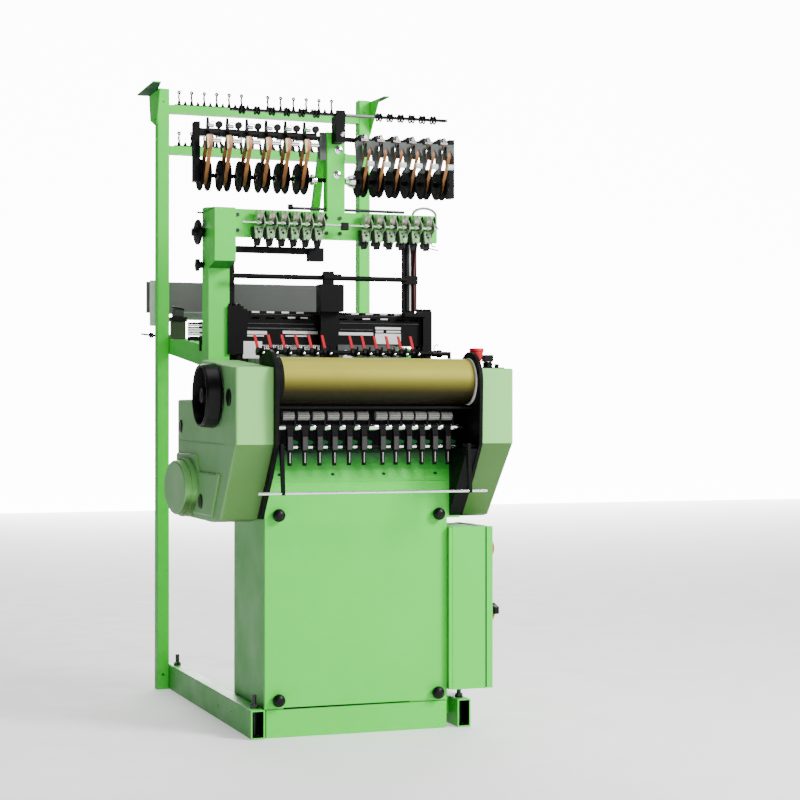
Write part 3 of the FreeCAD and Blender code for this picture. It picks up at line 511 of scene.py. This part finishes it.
# %% [markdown]
# ## Heads: press units
# Each head repeats along the loom: six in the left bank, six in the right. Bright sleeves space the arms on
# the upper shaft, and short bushes do the same on the thin rod below. Every arm also has a green tab, a dark
# grey front face and a narrow bright strip on its tail.

# %%
PER_BANK = 6
BANK_GAP = 400    # x between the two banks
SHAFT_END = 756


def bank(first, pitch):
    """Six places from the first one, at even steps."""
    return [first + pitch * i for i in range(PER_BANK)]


HEADS = bank(113, 53.6) + bank(450, 48.6)
PRESS_SHAFT, PRESS_ROD = (0, -60, 1072), (0, -60, 1005)

sleeves, bushes, tabs, faces, tails = Build(), Build(), Build(), Build(), Build()
for x, after in zip(HEADS, HEADS[1:] + [None]):
    a = x + 24.0 if x < BANK_GAP else x + 16.0
    b = after - 10.0 if after else SHAFT_END
    sleeves.lathe([(a, 7.6), (a, 10.6), (a + 1, 11.2), (b - 1, 11.2), (b, 10.6), (b, 7.6)], PRESS_SHAFT,
                  X_AXIS, 20)
    bushes.lathe([(x + 19, 5.0), (x + 19, 6.6), (x + 34, 6.6), (x + 34, 5.0)], PRESS_ROD, X_AXIS, 16)
    tabs.slab([(x + 17, 1030), (x + 36, 1024), (x + 34, 1016), (x + 17, 1012)], -66, -64)
    faces.block(x - 3, x + 15, -72.4, -71.1, 994, 1040, 0.5)
    tails.block(x + 4.4, x + 7.6, -68.8, -68.1, 950, 985, 0.2)
sleeves.lathe([(76, 7.6), (76, 9.0), (103, 9.0), (103, 7.6)], PRESS_SHAFT, X_AXIS, 20)
sleeves.make("press_sleeves", chrome, "press_unit")
bushes.make("rod_bushes", chrome, "press_unit")
tabs.make("press_tabs", deep_green, "press_unit")
faces.make("press_arm_faces", arm_face_grey, "press_unit")
tails.make("press_arm_strips", zinc, "press_unit")

# %% [markdown]
# A pale ring closes the right end of the take-off roller.

# %%
ROLLER = (0, -75, 1232)
Build().lathe([(769.5, 79), (769.5, 82), (770.5, 83), (773, 83), (774, 82), (774, 79)], ROLLER, X_AXIS,
              64).make("roller_end_ring", white_plastic, "take_off")

# %% [markdown]
# A black collar closes the roller's left end, and a black block paints the shade in the corner between the
# apron and the right side plate.

# %%
Build().lathe([(50.6, 70), (50.6, 83.5), (52, 84.5), (72, 84.5), (73.5, 83), (73.5, 80.2)], ROLLER, X_AXIS,
              64).make("roller_collar", black, "take_off")
# painted shade: a black block fills the shaded corner beside the right side plate
CORNER_SHADE = ((12.5, 756), (11, 756), (-92, 900), (-158, 996), (12.5, 996))
Build().hull([(x, y, z) for x in (734.5, 774.8) for y, z in CORNER_SHADE]).make("apron_corner_shade", black, "frame")

# %% [markdown]
# ## Harness trims
# White strips and grey bars sit on the front heald frame. They rise and fall with it.

# %%
strips = Build()
for x0, x1, z0, z1 in ((78, 152, 1406, 1418), (212, 346, 1409, 1420), (426, 560, 1407, 1418),
                       (78, 141, 1398, 1403), (222, 304, 1399, 1404), (568, 669, 1376, 1415),
                       (570, 600, 1419, 1426), (612, 668, 1419, 1426), (568, 669, 1430, 1439)):
    strips.block(x0, x1, 338, 342, z0, z1)
for xs, z0, z1 in (((96, 152, 208, 264, 476, 532, 588, 644), 1484, 1490), ((232, 280, 520, 590), 1466, 1471)):
    for x in xs:
        strips.block(x, x + 28, 340.5, 342, z0, z1, 0.3)
strips.make("harness_strips", white_plastic, "heald_1")

bars = Build()
for x0, x1, z0, z1 in ((80, 340, 1426, 1431), (80, 330, 1444, 1447), (430, 560, 1426, 1430),
                       (430, 740, 1450, 1453), (90, 320, 1478, 1480), (450, 700, 1478, 1480)):
    bars.block(x0, x1, 339, 342, z0, z1, 0.4)
bars.make("harness_bars", dark_metal, "heald_1")

# %% [markdown]
# Thin wire healds hang in every frame, grouped behind each head.

# %%
FIRST_HEALD_Y, HEALD_PITCH, WIRES_PER_HEAD = 348, 24, 6
for number in range(1, 7):
    wires = Build()
    y = FIRST_HEALD_Y + HEALD_PITCH * (number - 1)
    for x in HEADS:
        for wire_x in [x - 15 + 6 * step for step in range(WIRES_PER_HEAD)]:
            wires.tube([(wire_x, y, 1149), (wire_x, y, 1373)], 0.7, 4)
    wires.make("wire_healds_%d" % number, steel, "heald_%d" % number)

# %% [markdown]
# Fixed plates in front of the harness: a white panel and a narrow dark green plate at the left, a
# grey-green one with a small white foot at the right.

# %%
Build().block(58, 130, 324, 330, 1318, 1380).make("left_panel", white_plastic, "frame")
Build().block(8, 43, 327.2, 329.7, 1345, 1494).make("end_plate", deep_green, "frame")
Build().block(405, 618, 284, 289.5, 1346, 1370).make("right_panel", housing_grey, "frame")
Build().block(424, 460, 282, 288, 1319, 1329).block(430, 440, 283.5, 288, 1328, 1350).make(
    "right_panel_foot", white_plastic, "frame")

# %% [markdown]
# Small black knobs stand on the two cap plates, and the lever bar ends in a round connector. Bright pins
# and rings on the bar mark every feeler lever, and a collar under each lever tips with its bank.

# %%
LEVERS = bank(52, 49.3) + bank(401, 46.0)
LEVER_BAR = (0, 105, 1335)
caps = Build()
for x in (14, 30, 46):
    caps.lathe([(1496, 5), (1506, 5), (1508, 7), (1514, 7), (1516, 4)], (x, 334, 0), Z_AXIS, 14)
for x in (733, 748, 764, 780):
    caps.lathe([(1492, 7), (1498, 5), (1500, 8), (1507, 8), (1509, 3)], (x, 334, 0), Z_AXIS, 14)
caps.block(727, 787, 324, 334, 1486, 1499)
caps.lathe([(704, 9), (704, 11), (722, 11), (724, 14), (738, 14), (742, 11)], LEVER_BAR, X_AXIS, 24)
caps.tube([(712, 105, 1345), (712, 104, 1362), (720, 103, 1368), (728, 103, 1364)], 2.2, 8)
caps.make("cap_knobs", plastic, "frame")

pins = Build()
for x in LEVERS:
    pins.lathe([(-32, 3), (-31, 5), (-26, 5), (-26, 3)], (x + 13, 105, 1330), Y_AXIS, 12)
    pins.lathe([(x + 20, 4), (x + 20, 8), (x + 23, 8), (x + 23, 4)], LEVER_BAR, X_AXIS, 16)
pins.make("lever_pins", chrome, "frame")
for side, xs in (("left", LEVERS[:PER_BANK]), ("right", LEVERS[PER_BANK:])):
    collars = Build()
    for x in xs:
        collars.lathe([(x - 5.2, 12.05), (x - 5.2, 12.6), (x + 5.2, 12.6), (x + 5.2, 12.05)], LEVER_BAR,
                      X_AXIS, 28)
        collars.block(x - 4, x + 6, 100.5, 109.5, 1345, 1351)
    collars.make("lever_collars_%s" % side, plastic, "feelers_" + side)

# %% [markdown]
# ## Upper feeders, left bank
# Every belt has a bright roller beside its top loop, a dark block above, a round cap, a tall thin blade
# and one curved finger of spring wire.

# %%
BELTS_A, BELTS_B = bank(-80.5, 72.6), bank(515, 62.5)
rollers, blocks, fingers, loops = Build(), Build(), Build(), Build()
for c in BELTS_A:
    rollers.lathe([(c + 10, 5), (c + 10, 8), (c + 40, 8), (c + 40, 5)], (0, 258, 2090), X_AXIS, 20)
    rollers.lathe([(c + 8, 3), (c + 8, 7), (c + 30, 7), (c + 30, 3)], (0, 322, 2152), X_AXIS, 16)
    blocks.lathe([(c + 8, 6), (c + 9, 13), (c + 46, 13), (c + 48, 6)], (0, 318, 2129), X_AXIS, 24)
    blocks.slab([(c + 36, 2084), (c + 44, 2084), (c + 47, 2046), (c + 42, 2044)], 258, 266)
    blocks.lathe([(306, 10), (309, 13), (322, 13), (325, 10)], (c + 47, 0, 2156), Y_AXIS, 20)
    blocks.block(c + 43, c + 51, 310, 322, 2130, 2148, 1.0)
    fingers.tube([(c + 6, 310, 2132), (c + 4, 306, 2146), (c + 10, 302, 2158), (c + 20, 300, 2164),
                  (c + 30, 300, 2160)], 1.6, 6)
    loops.slab([(c - 15, 2106), (c - 5, 2108), (c - 5, 2068), (c - 11, 2058)], 246, 250)
rollers.make("loop_rollers_left", chrome, "frame")
blocks.make("feeder_blocks_left", plastic, "frame")
fingers.make("spring_fingers", dark_metal, "frame")
loops.make("loop_guides", pale_yellow, "frame")

# %% [markdown]
# ## Upper feeders, right bank
# Here each belt passes a grey tapered housing. A bright guide and a black round cap stand above it, two
# grey covers stand in front of its top loop, and a white roller sits below them.

# %%
housings, guides, caps_b, rolls_b, covers_b = Build(), Build(), Build(), Build(), Build()
for c in BELTS_B:
    housings.slab([(c - 38, 2118), (c - 10, 2118), (c - 12, 2020), (c - 28, 2020)], 296, 312)
    housings.block(c - 34, c - 14, 300, 312, 2012, 2024, 2.0)
    housings.block(c - 8, c + 12, 298, 318, 2104, 2126, 3.0)
    guides.slab([(c - 6, 2122), (c + 18, 2122), (c + 6, 2150)], 306, 320)
    guides.lathe([(c - 16, 3), (c - 16, 6.5), (c + 12, 6.5), (c + 12, 3)], (0, 300, 2124), X_AXIS, 16)
    caps_b.lathe([(300, 9), (302, 12.5), (316, 12.5), (318, 9)], (c - 16, 0, 2132), Y_AXIS, 20)
    rolls_b.lathe([(c - 11, 5), (c - 10, 10), (c + 13, 10), (c + 14, 5)], (0, 242, 2031), X_AXIS, 20)
    for side in (-1, 1):
        covers_b.hull([(c + 1, y, z) for y in (239.5, 243.5) for z in (2114, 2093)] +
                      [(c + 1 + 14 * side, y, z) for y in (239.5, 243.5) for z in (2114, 2068)])
housings.make("tapered_housings", housing_grey, "frame")
guides.make("bright_guides", chrome, "frame")
caps_b.make("round_caps_right", plastic, "frame")
rolls_b.make("loop_rollers_right", white_plastic, "frame")
covers_b.make("loop_covers_right", housing_grey, "frame")

# %% [markdown]
# Stepped bright hubs finish the feeder shaft on both sides of the post; they turn with it.

# %%
FEEDER_SHAFT = (0, 350, 1976)
hubs = Build()
hubs.lathe([(322, 8.1), (322, 20), (330, 20), (332, 15), (344, 13), (346, 9)], FEEDER_SHAFT, X_AXIS, 28)
hubs.lathe([(452, 9), (454, 13), (464, 15), (466, 20), (480, 24), (488, 24), (490, 8.1)], FEEDER_SHAFT,
           X_AXIS, 28)
for c in BELTS_A:
    hubs.lathe([(c - 26, 9), (c - 26, 14), (c - 20, 14), (c - 20, 9)], FEEDER_SHAFT, X_AXIS, 20)
for c in BELTS_B:
    hubs.lathe([(c + 16, 9), (c + 16, 14), (c + 24, 14), (c + 24, 9)], FEEDER_SHAFT, X_AXIS, 20)
hubs.make("feeder_hubs", chrome, "feeder_rotor")

# %% [markdown]
# Screws with wide washers hold the post and the bracket; three of them have a black socket.

# %%
screws = Build()
SOCKET_SCREWS = ((422, 332, 2088, 15), (417, 332, 1996, 15), (420, 276, 2138, 8))
PLAIN_SCREWS = ((396, 332, 1800, 9), (430, 332, 1800, 9))
for x, y, z, r in SOCKET_SCREWS + PLAIN_SCREWS:
    screws.lathe([(y - 2.5, r * 0.9), (y - 2, r), (y, r)], (x, 0, z), Y_AXIS, 28)
    screws.lathe([(y - 10, r * 0.5), (y - 9, r * 0.62), (y - 2, r * 0.62)], (x, 0, z), Y_AXIS, 20)
screws.make("post_screws", chrome, "frame")
sockets = Build()
for x, y, z, r in SOCKET_SCREWS:
    sockets.lathe([(y - 10.4, r * 0.3), (y - 9, r * 0.3)], (x, 0, z), Y_AXIS, 6)
sockets.make("screw_sockets", plastic, "frame")

# %% [markdown]
# A grey plate stands beside the top of the post, and a thin dark plate under each wing paints the shade on
# its underside.

# %%
Build().block(352, 376, 334, 344, 2048, 2150).make("post_plate", housing_grey, "frame")
# painted shade: a thin dark plate under each wing
wing_shade = Build()
for outline in ([(-106, 1070), (-77, 1070), (-52, 1247), (-52, 1398), (-100, 1398)],
                [(890, 1093), (872, 1093), (864, 1247), (864, 1398), (890, 1398)]):
    wing_shade.hull([(x, y, z) for x, y in outline for z in (2426.6, 2427.8)])
wing_shade.make("wing_underside_shade", deep_green, "frame")

# %% [markdown]
# ## Feeder beam
# A thin rod lies behind the beam's top edge, black hooks hang under every tension unit, and small pulleys
# and rods guide the tapes at the right end.

# %%
TENSION = bank(107, 45.4) + bank(515, 48.6)
Build().tube([(246, 345, 1869), (400, 345, 1869), (684, 345, 1868)], 5.6, 12).make(
    "beam_rod", dark_metal, "frame")
hooks, clamps = Build(), Build()
hooks.lathe([(234, 6), (235, 11), (250, 11), (251, 6)], (0, 345, 1873), X_AXIS, 18)
for x in TENSION:
    hooks.tube([(x - 2, 292, 1756), (x - 2, 280, 1746), (x - 2, 278, 1732), (x - 2, 284, 1725),
                (x + 2, 292, 1727)], 3.4, 8)
    hooks.slab([(x - 15, 1749), (x + 14, 1749), (x + 8, 1724), (x - 12, 1722)], 300, 310)
    hooks.slab([(x - 25, 1790), (x - 18, 1792), (x - 15, 1748), (x - 22, 1744)], 296, 306)
    hooks.hull([(x + 17, 282, 1836), (x + 25, 278, 1850), (x + 28, 278, 1830), (x + 23, 282, 1804),
                (x + 17, 290, 1836), (x + 25, 290, 1850), (x + 28, 290, 1830), (x + 23, 290, 1804)])
    hooks.tube([(x + 6, 286, 1790), (x + 8, 270, 1784), (x + 6, 268, 1770)], 1.6, 6)
    clamps.lathe([(x - 14, 4), (x - 14, 7.5), (x - 4, 7.5), (x - 4, 4)], (0, 264, 1804), X_AXIS, 18)
    hooks.lathe([(x + 3, 4), (x + 3, 6.5), (x + 12, 6.5), (x + 12, 4)], (0, 264, 1804), X_AXIS, 18)
hooks.block(411, 438, 254, 274, 1786, 1814, 2.0)
hooks.make("beam_hooks", plastic, "frame")
clamps.make("rod_clamps", unit_green, "frame")

wheels = Build()
for x in TENSION[PER_BANK:]:
    wheels.lathe([(x - 14, 5), (x - 14, 9), (x + 4, 9), (x + 4, 5)], (0, 332, 1744), X_AXIS, 18)
wheels.make("small_pulleys", dark_metal, "frame")
arch = [(763 - 46 * math.cos(a), 340, 1859 + 27 * math.sin(a)) for a in np.linspace(0, math.pi, 18)]
Build().tube(arch, 5.0, 10).make("tube_arch", pale_sheet, "frame")

# %% [markdown]
# Cables run down the thin right post: one white and one dark red, in a black strip.

# %%
Build().block(683, 692, 314, 319.5, 1500, 1750).block(716.2, 726, 321, 339, 1500, 1752).make(
    "cable_strip", plastic, "frame")
Build().tube([(697, 316, 1500), (697, 316, 1620), (696, 316, 1750)], 3.4, 8).make(
    "white_cable", white_plastic, "frame")
Build().tube([(716, 316, 1500), (713, 316, 1640), (722, 316, 1750)], 4.2, 8).make(
    "red_cable", cable_red, "frame")
ends = Build()
ends.tube([(732, 300, 1730), (760, 300, 1734), (804, 300, 1726)], 2.5, 8)
ends.tube([(773, 300, 1763), (778, 298, 1742), (790, 296, 1738)], 2.5, 8)
ends.lathe([(770, 4), (770, 9), (786, 9), (788, 5), (799, 5)], (0, 300, 1812), X_AXIS, 18)
ends.make("right_end_guides", dark_metal, "frame")

# %% [markdown]
# ## Thread guide bar
# Spring clips ring the bar beside every feeder. Wire loops top the eyelets on both crossbars. A pale strip
# lies along the bar left of the second bank.

# %%
CLIPS = bank(46, 56.0) + bank(567, 42.6)
EYELETS = bank(42, 52.5) + bank(417, 55.5)
clips, eyes = Build(), Build()
for x in CLIPS:
    for step in (-6.5, 6.5):
        clips.ring((x + step, 294, 2210), X_AXIS, 14, 2.7, 20, 6)
for z in (2206, 2373):
    for x in EYELETS:
        eyes.ring((x, 1262, z + 54), Y_AXIS, 4.6, 3.6, 14, 6)
        eyes.tube([(x + 2, 1262, z + 22), (x - 2, 1262, z + 34), (x + 1, 1262, z + 50)], 3.6, 6)
clips.make("bar_clips", plastic, "frame")
eyes.make("eyelet_loops", plastic, "frame")
Build().block(436, 545, 280.5, 283.5, 2207, 2214).make("bar_strip", pale_sheet, "frame")

# %% [markdown]
# ## Column, tray and table
# A black strip edges the column and a thin shaft crosses the loom. Beside the table stand a bracket with
# a small grey body and an olive box.

# %%
Build().block(20.2, 30, 336, 350, 1400, 1752, 0.6).lathe(
    [(12, 8), (12, 9.2), (672, 9.2), (672, 8)], (0, 290, 1613), X_AXIS, 20).block(
    400.2, 420, 256, 300, 1489, 1588, 1.0).block(346, 412, 262, 300, 1608, 1626, 1.0).make(
    "column_strip_and_shaft", black, "frame")
bits = Build()
bits.lathe([(-97, 15), (-95, 21), (-86, 21), (-84, 16), (-82, 10), (-67, 10)], (0, 405, 1655), X_AXIS, 24)
bits.tube([(-86, 424, 1849), (-64, 424, 1849)], 3.5, 8)
bits.block(-50, 14, 995, 1040, 1480, 1498, 2.0)
bits.tube([(-46, 1000, 1536), (-20, 1000, 1533), (2, 1000, 1528)], 4.0, 8)
bits.tube([(-108, 1290, 1441), (-60, 1290, 1435), (-2, 1290, 1433)], 4.0, 8)
bits.lathe([(-76, 5), (-72, 11), (-60, 11), (-56, 5)], (0, 1290, 1436), X_AXIS, 16)
bits.make("column_knob_and_bracket", plastic, "frame")
COLUMN_CAP = ((246, 1852.5), (429, 1852.5), (429, 1866), (380, 1865))
Build().hull([(x, y, z) for x in (-66, 11) for y, z in COLUMN_CAP]).make("column_cap", green, "frame")
Build().block(-46, 9, 1000, 1040, 1410, 1480, 2.0).make("olive_box", olive, "frame")
Build().block(-40, 2, 1002, 1036, 1498, 1530, 3.0).make("bracket_body", housing_grey, "frame")

# %% [markdown]
# Short bars at the left side of the table alternate white and dark. The tray has a pale end and a lighter
# lower strip.

# %%
rods_white, rods_dark = Build(), Build()
for z0, z1 in ((1448, 1455), (1427, 1440), (1412, 1420.5)):
    rods_white.block(-55, 0, 698, 706, z0, z1, 1.5)
for z0, z1 in ((1455.5, 1463), (1440.5, 1447), (1421, 1426.5), (1393, 1410)):
    rods_dark.block(-55, 0, 698, 706, z0, z1, 1.5)
rods_dark.block(-8, 16, 706.2, 716, 1355, 1466)
rods_white.make("white_rods", white_plastic, "frame")
rods_dark.make("dark_rods", plastic, "frame")
Build().block(-72, -2, 1290, 1296.4, 1474, 1660).make("tray_end", white_plastic, "frame")
Build().block(52, 300, 1288, 1294, 1500, 1534).make("tray_strip", pale_sheet, "frame")

# %% [markdown]
# A wide red cap tops the stop button on the right cover, and the dial beside it has a thick base.

# %%
STOP_X, STOP_Y, DIAL_X = 814.5, -50, 857
Build().lathe([(1322, 12), (1330, 14), (1338, 24.5), (1340, 26), (1348, 26), (1351, 24)],
              (STOP_X, STOP_Y, 0), Z_AXIS, 36).make("stop_cap", red, "stop_button")
dial = Build()
dial.lathe([(1281, 17), (1300, 17), (1302, 13), (1318, 13)], (DIAL_X, STOP_Y, 0), Z_AXIS, 28)
dial.block(800, 905, STOP_Y - 18, STOP_Y + 30, 1278.5, 1282.5)
dial.make("dial_base", plastic, "frame")
Build().lathe([(1302, 13.1), (1302, 15.5), (1307, 15.5), (1307, 13.1)], (DIAL_X, STOP_Y, 0), Z_AXIS, 28).make(
    "dial_ring", chrome, "frame")

# %% [markdown]
# ## Cabinet and control box
# The control box has a gasket, a filler piece, a vent strip and a seam. Its door carries a lock key with its
# grip and a wide cap on its button. Screws hold the apron, black plates paint the shade inside the open rail
# ends, a black strip marks the gap under the front panel, and domes round off its knobs.

# %%
Build().block(866.2, 868.6, 2, 238, 132, 716, 0.4).make("door_gasket", deep_green, "frame")
Build().block(724, 736.4, -12.9, 9.5, 138, 714).make("box_filler", green, "frame")
Build().block(842, 862, 30, 230, 715.2, 717.2, 0.4).make("vent_strip", pale_sheet, "frame")
Build().lathe([(909, 5), (911, 7), (915, 7), (917, 4)], (0, 30, 392), X_AXIS, 16).block(
    909, 914, 27, 33, 376, 392).make("lock_key", brass, "lock_handle")
GRIP = ((-8, 400), (-8, 424), (30, 434), (30, 394))
Build().hull([(x, y, z) for x in (902, 919) for y, z in GRIP]).make("lock_grip", plastic, "lock_handle")
Build().lathe([(903, 20), (904, 28), (908, 30), (914, 30), (918, 26), (920, 15)], (0, 60, 632), X_AXIS,
              36).make("door_button_cap", red, "door_button")
Build().block(863.6, 868.8, -13.8, -13.1, 140, 713, 0.2).make("box_seam", deep_green, "frame")
apron = Build()
for x in (106, 299, 488, 682):
    apron.lathe([(15.6, 5), (16.4, 7), (18.5, 7)], (x, 0, 905), Y_AXIS, 16)
apron.make("apron_screws", deep_green, "frame")
# painted shade: thin black plates line the inside of the open rail ends
rail_end_shade = Build()
for x0 in (0, 762):
    rail_end_shade.block(x0 + 5.05, x0 + 5.6, 2, 66, 5.7, 94.3).block(x0 + 44.4, x0 + 44.95, 2, 66, 5.7, 94.3)
    rail_end_shade.block(x0 + 5.7, x0 + 44.3, 62, 66, 5.7, 94.3).block(x0 + 5.7, x0 + 44.3, 3, 41, 5.05, 5.6)
rail_end_shade.make("rail_end_shade_plates", black, "frame")
Build().slab([(120, 96.6), (120, 102.4), (585, 101), (585, 99.6)], 11.2, 12.8).make(
    "panel_gap", black, "frame")
domes = Build()
DOME = [(3, 17), (0, 21), (-6, 22.8), (-12, 21.5), (-17, 16), (-20, 8), (-20.6, 1)]
for x, z in ((98, 130), (686, 128), (98, 768), (689, 763)):
    domes.lathe(DOME, (x, 0, z), Y_AXIS, 32)
domes.make("knob_domes", plastic, "frame")

# %% [markdown]
# ## Studio
# A pale floor with a faint glow of its own, a dim white sky, and three large lamps: key, front fill and
# top.

# %%
WHITE = (1.0, 1.0, 1.0, 1.0)


def area_lamp(name, place, target, size, power):
    """Lamp of the given size in metres and power in watts, turned towards a target."""
    lamp = bpy.data.lights.new(name, "AREA")
    lamp.shape, lamp.size, lamp.size_y, lamp.energy = "RECTANGLE", size[0], size[1], power
    holder = bpy.data.objects.new(name, lamp)
    bpy.context.scene.collection.objects.link(holder)
    holder.location = place
    holder.rotation_euler = (Vector(target) - Vector(place)).to_track_quat("-Z", "Y").to_euler()


def glow(material, strength):
    """Let a material give off white light of its own."""
    shader = material.node_tree.nodes["Principled BSDF"]
    shader.inputs["Emission Color"].default_value = WHITE
    shader.inputs["Emission Strength"].default_value = strength


FLOOR_HALF, FLOOR_Z = 40, -0.001    # metres
area_lamp("key", (4.2, -5.0, 4.6), (0, 0, 1.1), (2.2, 2.2), 800)
area_lamp("front fill", (0.8, -7.5, 2.2), (0, 0, 1.1), (4.0, 3.0), 120)
area_lamp("top", (0.4, -0.5, 5.5), (0, 0, 1.0), (3.0, 3.0), 110)

floor_mesh = bpy.data.meshes.new("floor")
CORNERS = ((-1, -1), (1, -1), (1, 1), (-1, 1))
floor_mesh.from_pydata([(FLOOR_HALF * x, FLOOR_HALF * y, FLOOR_Z) for x, y in CORNERS], [], [(0, 1, 2, 3)])
floor_paint = surface_material("floor", (0.88, 0.88, 0.88), (0.87, 0.87, 0.87), 0.9, bump=0.0)
glow(floor_paint, 0.5)
floor_mesh.materials.append(floor_paint)
floor = bpy.data.objects.new("floor", floor_mesh)
bpy.context.scene.collection.objects.link(floor)

world = bpy.data.worlds.new("studio")
world.use_nodes = True
sky = world.node_tree.nodes["Background"]
sky.inputs["Color"].default_value = WHITE
sky.inputs["Strength"].default_value = 0.12
bpy.context.scene.world = world

# %% [markdown]
# A wide glowing wall far behind the loom makes the white background of a studio.

# %%
wall_mesh = bpy.data.meshes.new("wall")
WALL_LEFT, WALL_RIGHT, WALL_Y, WALL_TOP = -1, 13, 14, 9    # metres
wall_mesh.from_pydata([(WALL_LEFT, WALL_Y, 0), (WALL_RIGHT, WALL_Y, 0), (WALL_RIGHT, WALL_Y, WALL_TOP),
                       (WALL_LEFT, WALL_Y, WALL_TOP)], [], [(0, 1, 2, 3)])
wall_paint = bpy.data.materials.new("wall light")
wall_paint.use_nodes = True
glow(wall_paint, 12.0)
wall_mesh.materials.append(wall_paint)
wall = bpy.data.objects.new("wall", wall_mesh)
bpy.context.scene.collection.objects.link(wall)

# %% [markdown]
# ## Camera
# It stands to the left of the loom, at about the height of the press rollers.

# %%
FOCAL_MM, SENSOR_MM, FAR_METRES = 84.15, 36.0, 200.0
TILT_DEGREES, TURN_DEGREES = 90.32, -19.9
lens = bpy.data.cameras.new("camera")
lens.lens, lens.sensor_width = FOCAL_MM, SENSOR_MM
lens.clip_end = FAR_METRES
camera = bpy.data.objects.new("camera", lens)
bpy.context.scene.collection.objects.link(camera)
camera.location = at(-1704, -6208, 1130)
camera.rotation_euler = (math.radians(TILT_DEGREES), 0.0, math.radians(TURN_DEGREES))
bpy.context.scene.camera = camera
